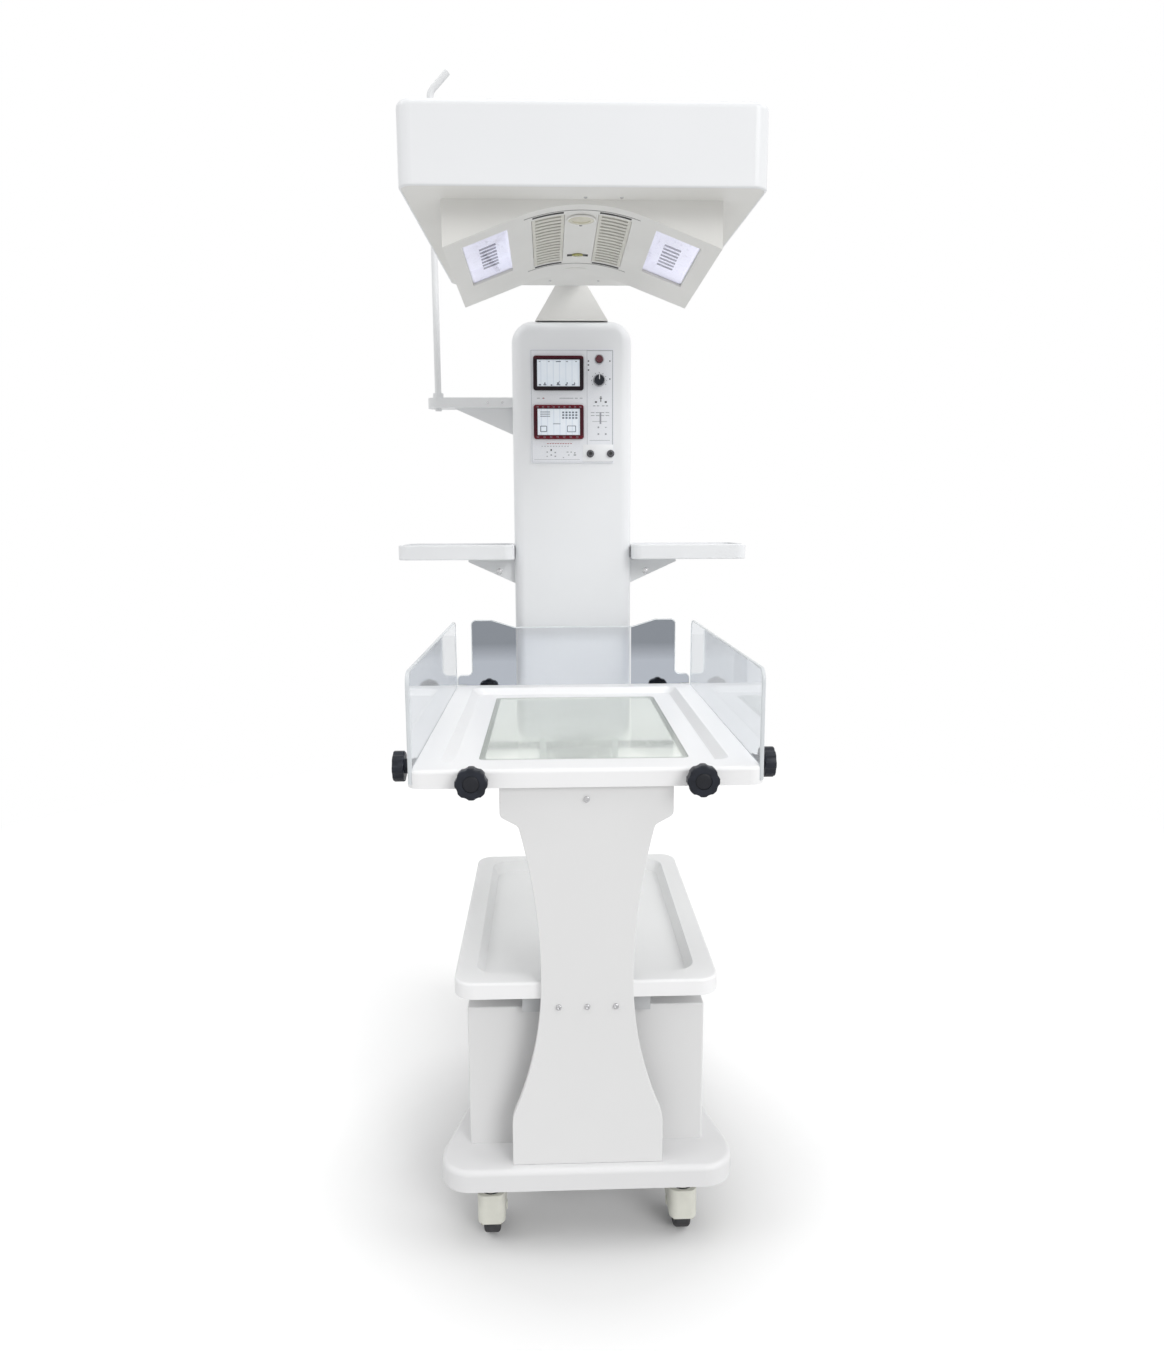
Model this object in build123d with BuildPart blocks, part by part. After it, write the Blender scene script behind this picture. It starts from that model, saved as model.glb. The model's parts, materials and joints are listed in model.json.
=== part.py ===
from build123d import *
import math
import os

os.makedirs("parts", exist_ok=True)

# Millimetres. X runs to the right, Y to the back and Z up, from the floor under the middle of the warmer.

# Driving sizes
bed_width = 600.0
bed_length = 830.0
bed_top = 906.0
base_top = 172.0
tower_top = 1790.0
tower_width = 292.0
tower_depth = 130.0
hood_floor = 1822.0
knob_reach = 34.0  # how far a knob stands out of the bed's edge
tower_gap = 30.0  # between the bed and the tower
base_tail = 46.0  # how far the base runs past the back of the tower

# Fits
run_fit = 0.05  # a pin in its bore
face_gap = 0.3  # two faces that pass each other
cut_over = 1.0  # how far a cut runs past a face

# The depth runs from the faces of the front knobs to the back of the base
overall_depth = knob_reach + bed_length + tower_gap + tower_depth + base_tail
front_line = -overall_depth / 2
back_line = overall_depth / 2
bed_front = front_line + knob_reach
bed_back = bed_front + bed_length
bed_middle = bed_front + bed_length / 2
tower_front = bed_back + tower_gap
tower_back = tower_front + tower_depth
tower_middle = tower_front + tower_depth / 2


def level(z):
    return Plane.XY.offset(z)


def upright(y):
    return Plane(origin=(0, y, 0), x_dir=(1, 0, 0), z_dir=(0, -1, 0))


def sideways(x):
    return Plane(origin=(x, 0, 0), x_dir=(0, 1, 0), z_dir=(1, 0, 0))


# Base cover, a shallow moulding that flares out over the casters
base_edge = 40.0
base_width = 530.0
waist_inset = 50.0
base_waist = base_width - 2 * waist_inset
base_nose = 70.0
base_flare = 190.0
base_corner = 55.0
base_blend = 90.0
base_wall = 5.0
base_round = 10.0
base_lead = 5.0
base_front = bed_front - base_lead
base_back = back_line
base_floor = base_top - base_edge


base_right_side = [
    (base_width / 2, base_front),
    (base_width / 2, base_front + base_nose),
    (base_waist / 2, base_front + base_nose + base_flare),
    (base_waist / 2, base_back - base_nose - base_flare),
    (base_width / 2, base_back - base_nose),
    (base_width / 2, base_back),
]
base_left_side = [(-x, y) for x, y in reversed(base_right_side)]

with BuildSketch() as base_plan:
    with BuildLine():
        Polyline(*base_right_side, *base_left_side, close=True)
    make_face()
    rows = vertices().group_by(Axis.Y)
    fillet(rows[1] + rows[2] + rows[3] + rows[4], base_blend)
    fillet(vertices().group_by(Axis.Y)[0] + vertices().group_by(Axis.Y)[-1], base_corner)

with BuildPart() as base_cover:
    with BuildSketch(level(base_floor)):
        add(base_plan.sketch)
    extrude(amount=base_edge)
    fillet(faces().sort_by(Axis.Z)[-1].edges(), base_round)
    with BuildSketch(level(base_floor)):
        add(base_plan.sketch)
        offset(amount=-base_wall, mode=Mode.REPLACE)
    extrude(amount=base_edge - base_wall, mode=Mode.SUBTRACT)
base_cover.part.label = "base_cover"
export_step(base_cover.part, "parts/base_cover.step")

# Steel frame inside the base, with a socket for each caster
frame_height = 30.0
frame_rail = 44.0
frame_wall = 4.0
socket_wall = 5.0
frame_margin = 20.0
caster_margin = 89.0
caster_x = base_width / 2 - caster_margin
caster_inset = 55.0
caster_back_inset = 80.0
stem_radius = 6.0
stem_length = 26.0
stem_clear = 1.0
frame_roof = base_top - base_wall
frame_floor = frame_roof - frame_height
caster_front = base_front + caster_inset
caster_back = base_back - caster_back_inset
caster_places = {
    "front_left": (-caster_x, caster_front),
    "front_right": (caster_x, caster_front),
    "back_left": (-caster_x, caster_back),
    "back_right": (caster_x, caster_back),
}
frame_length = base_back - base_front - 2 * frame_margin

base_mid = (base_front + base_back) / 2

with BuildSketch() as frame_plan:
    with Locations((-caster_x, base_mid), (caster_x, base_mid)):
        Rectangle(frame_rail, frame_length)
    with Locations((0, caster_front), (0, base_mid), (0, tower_middle), (0, caster_back)):
        Rectangle(2 * caster_x, frame_rail)

with BuildPart() as base_frame:
    with BuildSketch(level(frame_floor)):
        add(frame_plan.sketch)
    extrude(amount=frame_height)
    with BuildSketch(level(frame_floor)):
        add(frame_plan.sketch)
        offset(amount=-frame_wall, mode=Mode.REPLACE)
        with Locations(*caster_places.values()):
            Circle(stem_radius + socket_wall, mode=Mode.SUBTRACT)
    extrude(amount=frame_height - frame_wall, mode=Mode.SUBTRACT)
    with BuildSketch(level(frame_floor)):
        with Locations(*caster_places.values()):
            Circle(stem_radius + run_fit)
    extrude(amount=stem_length + stem_clear, mode=Mode.SUBTRACT)
base_frame.part.label = "base_frame"
export_step(base_frame.part, "parts/base_frame.step")

# Casters: a hooded fork with its stem and axle, and a wheel that turns on the axle
wheel_radius = 45.0
wheel_width = 30.0
wheel_round = 6.0
hub_radius = 24.0
hub_recess = 3.0
axle_radius = 4.0
fork_width = 48.0
wheel_side_gap = 2.0
wheel_rim_gap = 3.0
hood_skin = 3.5
fork_trail = 25.0
fork_skirt = 21.0
fork_head_radius = 23.0
fork_neck = 36.0
fork_head_round = 3.0
fork_round = 4.0
fork_top = frame_floor - face_gap
fork_guard = wheel_radius + wheel_rim_gap + hood_skin

for corner, (x, y) in caster_places.items():
    with BuildPart() as fork:
        with BuildSketch(sideways(x)):
            with Locations((y + fork_trail, wheel_radius)):
                Circle(fork_guard)
            with Locations((y, (wheel_radius + fork_top) / 2)):
                Rectangle(fork_neck, fork_top - wheel_radius - 2 * fork_head_round)
            with Locations((y + fork_trail, fork_skirt - fork_guard)):
                Rectangle(2 * fork_guard, 2 * fork_guard, mode=Mode.SUBTRACT)
        extrude(amount=fork_width / 2, both=True)
        fillet(faces().filter_by(Axis.X).edges(), fork_round)
        with BuildSketch(level(wheel_radius + fork_guard)):
            with Locations((x, y)):
                Circle(fork_head_radius)
        extrude(amount=fork_top - wheel_radius - fork_guard)
        with BuildSketch(sideways(x)):
            with Locations((y + fork_trail, wheel_radius)):
                Circle(wheel_radius + wheel_rim_gap)
        extrude(amount=wheel_width / 2 + wheel_side_gap, both=True, mode=Mode.SUBTRACT)
        with BuildSketch(sideways(x)):
            with Locations((y + fork_trail, wheel_radius)):
                Circle(axle_radius)
        extrude(amount=wheel_width / 2 + wheel_side_gap, both=True)
        with BuildSketch(level(fork_top)):
            with Locations((x, y)):
                Circle(stem_radius)
        extrude(amount=stem_length)
    fork.part.label = f"caster_fork_{corner}"
    export_step(fork.part, f"parts/caster_fork_{corner}.step")

    with BuildPart() as wheel:
        with BuildSketch(sideways(x)):
            with Locations((y + fork_trail, wheel_radius)):
                Circle(wheel_radius)
                Circle(axle_radius + run_fit, mode=Mode.SUBTRACT)
        extrude(amount=wheel_width / 2, both=True)
        fillet(edges().filter_by(GeomType.CIRCLE).group_by(SortBy.RADIUS)[-1], wheel_round)
        for side in (-1, 1):
            with BuildSketch(sideways(x + side * (wheel_width / 2 - hub_recess))):
                with Locations((y + fork_trail, wheel_radius)):
                    Circle(wheel_radius - 2 * wheel_round)
                    Circle(hub_radius / 2, mode=Mode.SUBTRACT)
            extrude(amount=side * hub_recess, mode=Mode.SUBTRACT)
    wheel.part.label = f"caster_wheel_{corner}"
    export_step(wheel.part, f"parts/caster_wheel_{corner}.step")

# Pedestal: an hourglass front panel over a box-section post
panel_inset = 12.0
panel_depth = 14.0
panel_skin = 2.0
panel_foot_width = 268.0
panel_neck_width = 161.0
panel_shoulder_width = 232.0
panel_head_width = 294.0
panel_foot_height = 92.0
panel_neck_z = 523.0
panel_shoulder_z = 803.0
panel_shoulder_rise = 17.0
panel_top_gap = 2.0
panel_foot_round = 60.0
panel_head_round = 12.0
panel_edge_round = 1.5
bed_edge = 32.0
bed_under = bed_top - bed_edge
panel_front = bed_front + panel_inset
panel_top = bed_under - panel_top_gap


panel_foot = panel_foot_width / 2
panel_neck = panel_neck_width / 2
panel_shoulder = panel_shoulder_width / 2
panel_head = panel_head_width / 2
panel_flare_z = base_top + panel_foot_height

with BuildSketch() as hourglass:
    with BuildLine():
        Polyline((0, base_top), (panel_foot, base_top), (panel_foot, panel_flare_z))
        TangentArc((panel_neck, panel_neck_z), (panel_foot, panel_flare_z), tangent=(0, -1))
        TangentArc((panel_neck, panel_neck_z), (panel_shoulder, panel_shoulder_z), tangent=(0, 1))
        Polyline(
            (panel_shoulder, panel_shoulder_z),
            (panel_head, panel_shoulder_z + panel_shoulder_rise),
            (panel_head, panel_top),
            (0, panel_top),
        )
        mirror(about=Plane.YZ)
    make_face()
    fillet(vertices().group_by(Axis.Y)[1], panel_foot_round)
    shoulders = vertices().filter_by(lambda v: panel_shoulder_z - panel_skin < v.Y < panel_top - panel_skin)
    fillet(shoulders, panel_head_round)

post_width = 120.0
screw_radius = 2.5
screw_head_radius = 5.0
screw_head = 4.0
screw_reach = 9.0
screw_spacing = 50.0
screw_row_z = 475.0
head_screw_z = 850.0
screw_places = [(x, screw_row_z) for x in (-screw_spacing, 0, screw_spacing)] + [(0, head_screw_z)]

with BuildPart() as pedestal_panel:
    with BuildSketch(upright(panel_front)):
        add(hourglass.sketch)
    extrude(amount=-panel_depth)
    fillet(faces().sort_by(Axis.Y)[0].edges(), panel_edge_round)
    with BuildSketch(upright(panel_front + panel_skin)):
        add(hourglass.sketch)
        offset(amount=-panel_skin, mode=Mode.REPLACE)
    extrude(amount=-panel_depth, mode=Mode.SUBTRACT)
    with BuildSketch(upright(panel_front + panel_skin)):
        with Locations((0, (base_top + panel_top) / 2)):
            Rectangle(post_width + 2 * face_gap, panel_top - base_top)
    extrude(amount=-panel_depth, mode=Mode.SUBTRACT)
    with BuildSketch(upright(panel_front)):
        with Locations(*screw_places):
            Circle(screw_radius + run_fit)
    extrude(amount=-panel_skin, mode=Mode.SUBTRACT)
pedestal_panel.part.label = "pedestal_panel"
export_step(pedestal_panel.part, "parts/pedestal_panel.step")

post_depth = 42.0
post_wall = 3.0
post_top = 868.0
rim_wall = 4.0
lip_wall = 14.0
pad_radius = 10.0
pad_spacing = 80.0
post_front = panel_front + panel_skin
post_back = post_front + post_depth
post_mid = post_front + post_depth / 2
pad_top = bed_top - rim_wall - face_gap
rim_width = 51.0
pad_y = bed_front + (lip_wall + rim_width - rim_wall) / 2

with BuildPart() as pedestal_post:
    with BuildSketch(level(base_top)):
        with Locations((0, post_mid)):
            Rectangle(post_width, post_depth)
    extrude(amount=post_top - base_top)
    with BuildSketch(level(base_top)):
        with Locations((0, post_mid)):
            Rectangle(post_width - 2 * post_wall, post_depth - 2 * post_wall)
    extrude(amount=post_top - base_top - post_wall, mode=Mode.SUBTRACT)
    with BuildSketch(level(post_top)):
        with Locations((-pad_spacing / 2, pad_y), (pad_spacing / 2, pad_y)):
            Circle(pad_radius)
    extrude(amount=pad_top - post_top)
    with BuildSketch(upright(post_front)):
        with Locations(*screw_places):
            Circle(screw_radius + run_fit)
    extrude(amount=-post_wall, mode=Mode.SUBTRACT)
pedestal_post.part.label = "pedestal_post"
export_step(pedestal_post.part, "parts/pedestal_post.step")

with BuildPart() as panel_screws:
    with BuildSketch(upright(panel_front)):
        with Locations(*screw_places):
            Circle(screw_head_radius)
    extrude(amount=screw_head)
    fillet(faces().group_by(Axis.Y)[0].edges(), screw_head / 2)
    with BuildSketch(upright(panel_front)):
        with Locations(*screw_places):
            Circle(screw_radius)
    extrude(amount=-screw_reach)
panel_screws.part.label = "panel_screws"
export_step(panel_screws.part, "parts/panel_screws.step")

# Equipment box on the base, its back cover, and the transformer inside
box_width = 430.0
box_inset = 75.0
box_depth = 480.0
box_top = 443.0
box_skin = 2.0
box_round = 3.0
vent_length = 60.0
vent_height = 5.0
vent_rows = 7
vent_columns = 4
vent_pitch = 14.0
vent_spread = 90.0
box_front = bed_front + box_inset
box_back = box_front + box_depth
box_mid_z = (base_top + box_top) / 2
box_height = box_top - base_top

with BuildPart() as equipment_box:
    with BuildSketch(level(base_top)):
        with Locations((0, (box_front + box_back) / 2)):
            Rectangle(box_width, box_depth)
    extrude(amount=box_height)
    fillet(edges().filter_by(Axis.Z).group_by(Axis.Y)[0] + edges().group_by(Axis.Z)[-1], box_round)
    with BuildSketch(upright(box_front + box_skin)):
        with Locations((0, (base_top + box_top - box_skin) / 2)):
            Rectangle(box_width - 2 * box_skin, box_height - box_skin)
    extrude(amount=-box_depth, mode=Mode.SUBTRACT)
equipment_box.part.label = "equipment_box"
export_step(equipment_box.part, "parts/equipment_box.step")

with BuildPart() as box_rear_cover:
    with BuildSketch(upright(box_back)):
        with Locations((0, box_mid_z)):
            RectangleRounded(box_width, box_height, box_round)
            with GridLocations(vent_spread, vent_pitch, vent_columns, vent_rows):
                SlotOverall(vent_length, vent_height, mode=Mode.SUBTRACT)
    extrude(amount=-box_skin)
box_rear_cover.part.label = "box_rear_cover"
export_step(box_rear_cover.part, "parts/box_rear_cover.step")

core_width = 130.0
core_depth = 110.0
core_height = 110.0
coil_overhang = 18.0
core_limb = 30.0
core_y = (box_front + box_back) / 2

with BuildPart() as transformer:
    with BuildSketch(upright(core_y - core_depth / 2)):
        with Locations((0, base_top + core_height / 2)):
            Rectangle(core_width, core_height)
    extrude(amount=-core_depth)
    with BuildSketch(level(base_top + core_limb)):
        with Locations((0, core_y)):
            RectangleRounded(core_width - core_limb, core_depth + 2 * coil_overhang, coil_overhang / 2)
    extrude(amount=core_height - 2 * core_limb)
transformer.part.label = "transformer"
export_step(transformer.part, "parts/transformer.step")

# Lower tray on its bearer
tray_width = 470.0
tray_length = 640.0
tray_top = 514.0
tray_edge = 30.0
tray_corner = 36.0
tray_rim = 38.0
tray_slope = 12.0
tray_sink = 21.0
tray_wall = 4.0
tray_round = 5.0
bearer_spacing = 200.0
bearer_width = 30.0
bearer_wall = 3.0
notch_gap = 3.0
tray_front = panel_front + panel_depth + face_gap
tray_mid = tray_front + tray_length / 2
tray_under = tray_top - tray_edge
tray_floor = tray_top - tray_sink
bearer_top = tray_floor - tray_wall

bearer_mid = (post_back + box_back) / 2

with BuildSketch() as bearer_plan:
    with Locations((-bearer_spacing / 2, bearer_mid), (bearer_spacing / 2, bearer_mid)):
        Rectangle(bearer_width, box_back - post_back)
    with Locations((0, post_back + bearer_width / 2), (0, box_back - bearer_width / 2)):
        Rectangle(bearer_spacing, bearer_width)

with BuildPart() as tray_bearer:
    with BuildSketch(level(box_top)):
        add(bearer_plan.sketch)
    extrude(amount=bearer_top - box_top)
    with BuildSketch(level(box_top)):
        add(bearer_plan.sketch)
        offset(amount=-bearer_wall, mode=Mode.REPLACE)
    extrude(amount=bearer_top - box_top - bearer_wall, mode=Mode.SUBTRACT)
tray_bearer.part.label = "tray_bearer"
export_step(tray_bearer.part, "parts/tray_bearer.step")

with BuildPart() as lower_tray:
    with BuildSketch(level(tray_under)):
        with Locations((0, tray_mid)):
            RectangleRounded(tray_width, tray_length, tray_corner)
    extrude(amount=tray_edge)
    fillet(faces().sort_by(Axis.Z)[-1].edges(), tray_round)
    for depth, inset in ((0, tray_rim), (tray_sink, tray_rim + tray_slope)):
        with BuildSketch(level(tray_top - depth)):
            with Locations((0, tray_mid)):
                RectangleRounded(tray_width - 2 * inset, tray_length - 2 * inset, tray_corner)
    loft(mode=Mode.SUBTRACT)
    with BuildSketch(level(tray_under)):
        with Locations((0, tray_mid)):
            RectangleRounded(tray_width - 2 * tray_wall, tray_length - 2 * tray_wall, tray_corner - tray_wall)
    extrude(amount=bearer_top - tray_under, mode=Mode.SUBTRACT)
    with BuildSketch(level(bearer_top)):
        with Locations((0, tray_mid)):
            RectangleRounded(tray_width - 2 * tray_wall, tray_length - 2 * tray_wall, tray_corner - tray_wall)
            RectangleRounded(
                tray_width - 2 * tray_rim + 2 * tray_wall,
                tray_length - 2 * tray_rim + 2 * tray_wall,
                tray_corner,
                mode=Mode.SUBTRACT,
            )
    extrude(amount=tray_top - tray_wall - bearer_top, mode=Mode.SUBTRACT)
    with BuildSketch(level(tray_under)):
        with Locations((0, (tray_front + post_back + notch_gap) / 2)):
            Rectangle(post_width + 2 * notch_gap, post_back + notch_gap - tray_front)
    extrude(amount=tray_edge, mode=Mode.SUBTRACT)
lower_tray.part.label = "lower_tray"
export_step(lower_tray.part, "parts/lower_tray.step")

# Mast and the rails that carry the bed
mast_width = 100.0
mast_depth = 70.0
mast_wall = 4.0
mast_inset = 28.0
mast_foot_width = 180.0
mast_foot_depth = 130.0
mast_foot = 8.0
tower_wall = 4.0
mast_front = tower_front + mast_inset
mast_mid = mast_front + mast_depth / 2
mast_top = tower_top - tower_wall

with BuildPart() as mast:
    with BuildSketch(level(base_top)):
        with Locations((0, mast_mid)):
            Rectangle(mast_foot_width, mast_foot_depth)
    extrude(amount=mast_foot)
    with BuildSketch(level(base_top)):
        with Locations((0, mast_mid)):
            Rectangle(mast_width, mast_depth)
    extrude(amount=mast_top - base_top)
    with BuildSketch(level(base_top)):
        with Locations((0, mast_mid)):
            Rectangle(mast_width - 2 * mast_wall, mast_depth - 2 * mast_wall)
    extrude(amount=mast_top - base_top - mast_wall, mode=Mode.SUBTRACT)
mast.part.label = "mast"
export_step(mast.part, "parts/mast.step")

rail_width = 30.0
rail_height = 30.0
rail_wall = 3.0
rail_floor = 703.0
bracket_width = 12.0
bracket_round = 14.0
shaft_radius = 8.0
shaft_z = 845.0
rail_x = (post_width + rail_width) / 2
rail_top = rail_floor + rail_height

rail_mid = (post_front + mast_front) / 2

with BuildSketch() as rail_plan:
    with Locations((-rail_x, rail_mid), (rail_x, rail_mid)):
        Rectangle(rail_width, mast_front - post_front)
    with Locations((0, mast_front - rail_width / 2)):
        Rectangle(2 * rail_x, rail_width)

with BuildPart() as bed_rails:
    with BuildSketch(level(rail_floor)):
        add(rail_plan.sketch)
    extrude(amount=rail_height)
    with BuildSketch(level(rail_floor)):
        add(rail_plan.sketch)
        offset(amount=-rail_wall, mode=Mode.REPLACE)
    extrude(amount=rail_height - rail_wall, mode=Mode.SUBTRACT)
    for x in (-rail_x, rail_x):
        with BuildSketch(sideways(x)):
            with Locations((bed_middle, shaft_z)):
                Circle(bracket_round)
            with BuildLine():
                Polyline(
                    (bed_middle - bracket_round, shaft_z),
                    (bed_middle - 2 * bracket_round, rail_top),
                    (bed_middle + 2 * bracket_round, rail_top),
                    (bed_middle + bracket_round, shaft_z),
                    close=True,
                )
            make_face()
        extrude(amount=bracket_width / 2, both=True)
        with BuildSketch(sideways(x)):
            with Locations((bed_middle, shaft_z)):
                Circle(shaft_radius + run_fit)
        extrude(amount=bracket_width / 2, both=True, mode=Mode.SUBTRACT)
bed_rails.part.label = "bed_rails"
export_step(bed_rails.part, "parts/bed_rails.step")

# Bed: the moulding, its clear window and the tilt shaft
bed_corner = 26.0
bed_round = 7.0
pan_sink = 14.0
pan_slope = 17.0
pan_corner = 22.0
pan_floor = 6.0
window_width = 377.0
window_length = 600.0
window_thick = 3.0
window_ledge = 10.0
window_corner = 12.0
window_front = 120.0
wall_thick = 6.0
wall_bury = 26.0
wall_inset = 3.0
wall_front_inset = 6.0
wall_back_inset = 30.0
wall_height = 164.0
lug_width = 14.0
lug_round = 13.0
lug_inset = 85.0
stud_radius = 4.0
stud_length = 12.0
stud_z = 890.0
front_knob_x = 190.0
back_knob_x = 215.0
side_knob_inset = 92.0
slot_width = wall_thick + 2 * face_gap
pan_level = bed_top - pan_sink
pan_under = pan_level - pan_floor
window_middle = bed_front + window_front + window_length / 2
side_wall_x = bed_width / 2 - wall_inset - slot_width / 2
back_wall_y = bed_back - wall_inset - slot_width / 2
side_wall_front = bed_front + wall_front_inset
side_wall_length = bed_length - wall_front_inset - wall_back_inset
side_wall_mid = side_wall_front + side_wall_length / 2
back_tab_width = bed_width - 2 * bed_corner - 2 * wall_inset
lug_x = bed_width / 2 - lug_inset

with BuildPart() as bed_frame:
    with BuildSketch(level(bed_under)):
        with Locations((0, bed_middle)):
            RectangleRounded(bed_width, bed_length, bed_corner)
    extrude(amount=bed_edge)
    fillet(faces().sort_by(Axis.Z)[-1].edges(), bed_round)
    for depth, inset in ((0, rim_width), (pan_sink, rim_width + pan_slope)):
        with BuildSketch(level(bed_top - depth)):
            with Locations((0, bed_middle)):
                RectangleRounded(bed_width - 2 * inset, bed_length - 2 * inset, pan_corner)
    loft(mode=Mode.SUBTRACT)
    with BuildSketch(level(bed_under)):
        with Locations((0, bed_middle)):
            RectangleRounded(bed_width - 2 * lip_wall, bed_length - 2 * lip_wall, bed_corner - lip_wall)
    extrude(amount=pan_under - bed_under, mode=Mode.SUBTRACT)
    with BuildSketch(level(pan_under)):
        with Locations((0, bed_middle)):
            RectangleRounded(bed_width - 2 * lip_wall, bed_length - 2 * lip_wall, bed_corner - lip_wall)
            Rectangle(
                bed_width - 2 * rim_width + 2 * rim_wall,
                bed_length - 2 * rim_width + 2 * rim_wall,
                mode=Mode.SUBTRACT,
            )
    extrude(amount=bed_top - rim_wall - pan_under, mode=Mode.SUBTRACT)
    with BuildSketch(level(pan_under)):
        with Locations((0, window_middle)):
            RectangleRounded(window_width - 2 * window_ledge, window_length - 2 * window_ledge, window_corner)
    extrude(amount=pan_floor, mode=Mode.SUBTRACT)
    with BuildSketch(level(pan_level - window_thick)):
        with Locations((0, window_middle)):
            RectangleRounded(window_width + 2 * face_gap, window_length + 2 * face_gap, window_corner)
    extrude(amount=window_thick, mode=Mode.SUBTRACT)
    with BuildSketch(level(bed_top - wall_bury)):
        with Locations((-side_wall_x, side_wall_mid), (side_wall_x, side_wall_mid)):
            Rectangle(slot_width, side_wall_length + 2 * face_gap)
        with Locations((0, back_wall_y)):
            Rectangle(back_tab_width + 2 * face_gap, slot_width)
    extrude(amount=wall_bury, mode=Mode.SUBTRACT)
    for x in (-lug_x, lug_x):
        with BuildSketch(sideways(x)):
            with Locations((bed_middle, shaft_z)):
                Circle(lug_round)
            with Locations((bed_middle, (shaft_z + pan_under) / 2)):
                Rectangle(2 * lug_round, pan_under - shaft_z)
        extrude(amount=lug_width / 2, both=True)
        with BuildSketch(sideways(x)):
            with Locations((bed_middle, shaft_z)):
                Circle(shaft_radius)
        extrude(amount=lug_width / 2, both=True, mode=Mode.SUBTRACT)
    with BuildSketch(upright(bed_front)):
        with Locations((-front_knob_x, stud_z), (front_knob_x, stud_z)):
            Circle(stud_radius + run_fit)
    extrude(amount=-lip_wall, mode=Mode.SUBTRACT)
    with BuildSketch(upright(bed_back)):
        with Locations((-back_knob_x, stud_z), (back_knob_x, stud_z)):
            Circle(stud_radius + run_fit)
    extrude(amount=wall_inset, mode=Mode.SUBTRACT)
    for x in (-bed_width / 2, bed_width / 2 - wall_inset):
        with BuildSketch(sideways(x)):
            with Locations((bed_front + side_knob_inset, stud_z)):
                Circle(stud_radius + run_fit)
        extrude(amount=wall_inset, mode=Mode.SUBTRACT)
bed_frame.part.label = "bed_frame"
export_step(bed_frame.part, "parts/bed_frame.step")

with BuildPart() as bed_window:
    with BuildSketch(level(pan_level - window_thick)):
        with Locations((0, window_middle)):
            RectangleRounded(window_width, window_length, window_corner)
    extrude(amount=window_thick)
bed_window.part.label = "bed_window"
export_step(bed_window.part, "parts/bed_window.step")

with BuildPart() as tilt_shaft:
    with BuildSketch(sideways(0)):
        with Locations((bed_middle, shaft_z)):
            Circle(shaft_radius)
    extrude(amount=lug_x + lug_width / 2, both=True)
tilt_shaft.part.label = "tilt_shaft"
export_step(tilt_shaft.part, "parts/tilt_shaft.step")

# Clear side walls and back wall, standing in slots in the rim
wall_corner = 22.0
wall_edge_round = 1.5
back_foot_width = 584.0
back_body_width = 510.0
back_foot_height = 26.0
back_foot_round = 12.0
back_dip = 18.0
back_flat_width = 408.0
wall_foot = bed_top - wall_bury + face_gap
wall_top = bed_top + wall_height

for name, x in (("wall_left", -side_wall_x), ("wall_right", side_wall_x)):
    with BuildPart() as side_wall:
        with BuildSketch(sideways(x)):
            with Locations((side_wall_mid, (wall_foot + wall_top) / 2)):
                Rectangle(side_wall_length, wall_top - wall_foot)
            fillet(vertices().group_by(Axis.Y)[-1], wall_corner)
        extrude(amount=wall_thick / 2, both=True)
        fillet(faces().filter_by(Axis.X).edges(), wall_edge_round)
    side_wall.part.label = name
    export_step(side_wall.part, f"parts/{name}.step")

with BuildPart() as wall_back:
    with BuildSketch(upright(back_wall_y)):
        with BuildLine():
            Polyline(
                (0, wall_foot),
                (back_tab_width / 2, wall_foot),
                (back_tab_width / 2, bed_top + face_gap),
                (back_foot_width / 2, bed_top + face_gap),
                (back_foot_width / 2, bed_top + back_foot_height),
                (back_body_width / 2, bed_top + back_foot_height),
                (back_body_width / 2, wall_top),
                (back_flat_width / 2, wall_top),
                (tower_width / 2, wall_top - back_dip),
                (0, wall_top - back_dip),
            )
            mirror(about=Plane.YZ)
        make_face()
        corners = vertices().group_by(Axis.Y)
        top_corners = corners[-1].group_by(Axis.X)
        fillet(corners[2] + top_corners[0] + top_corners[-1], back_foot_round)
    extrude(amount=wall_thick / 2, both=True)
    fillet(faces().filter_by(Axis.Y).edges(), wall_edge_round)
wall_back.part.label = "wall_back"
export_step(wall_back.part, "parts/wall_back.step")

# Clamping knobs around the bed, each over a fixed collar
knob_lobes = 10
knob_core = 23.5
knob_lobe_radius = 6.0
knob_lobe_circle = 21.0
knob_thick = 20.0
knob_round = 3.0
knob_hub_radius = 13.0
collar_radius = 15.0
collar_thick = 3.0
knob_dish_radius = 14.0
knob_dish = 2.0
knob_face = knob_reach - knob_thick

knob_seats = {
    "front_left": Plane(origin=(-front_knob_x, bed_front, stud_z), x_dir=(1, 0, 0), z_dir=(0, -1, 0)),
    "front_right": Plane(origin=(front_knob_x, bed_front, stud_z), x_dir=(1, 0, 0), z_dir=(0, -1, 0)),
    "back_left": Plane(origin=(-back_knob_x, bed_back, stud_z), x_dir=(-1, 0, 0), z_dir=(0, 1, 0)),
    "back_right": Plane(origin=(back_knob_x, bed_back, stud_z), x_dir=(-1, 0, 0), z_dir=(0, 1, 0)),
    "side_left": Plane(
        origin=(-bed_width / 2, bed_front + side_knob_inset, stud_z), x_dir=(0, -1, 0), z_dir=(-1, 0, 0)
    ),
    "side_right": Plane(
        origin=(bed_width / 2, bed_front + side_knob_inset, stud_z), x_dir=(0, 1, 0), z_dir=(1, 0, 0)
    ),
}

with BuildPart() as knob_collars:
    for seat in knob_seats.values():
        with BuildSketch(seat):
            Circle(collar_radius)
            Circle(stud_radius + run_fit, mode=Mode.SUBTRACT)
        extrude(amount=collar_thick)
knob_collars.part.label = "knob_collars"
export_step(knob_collars.part, "parts/knob_collars.step")

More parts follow.
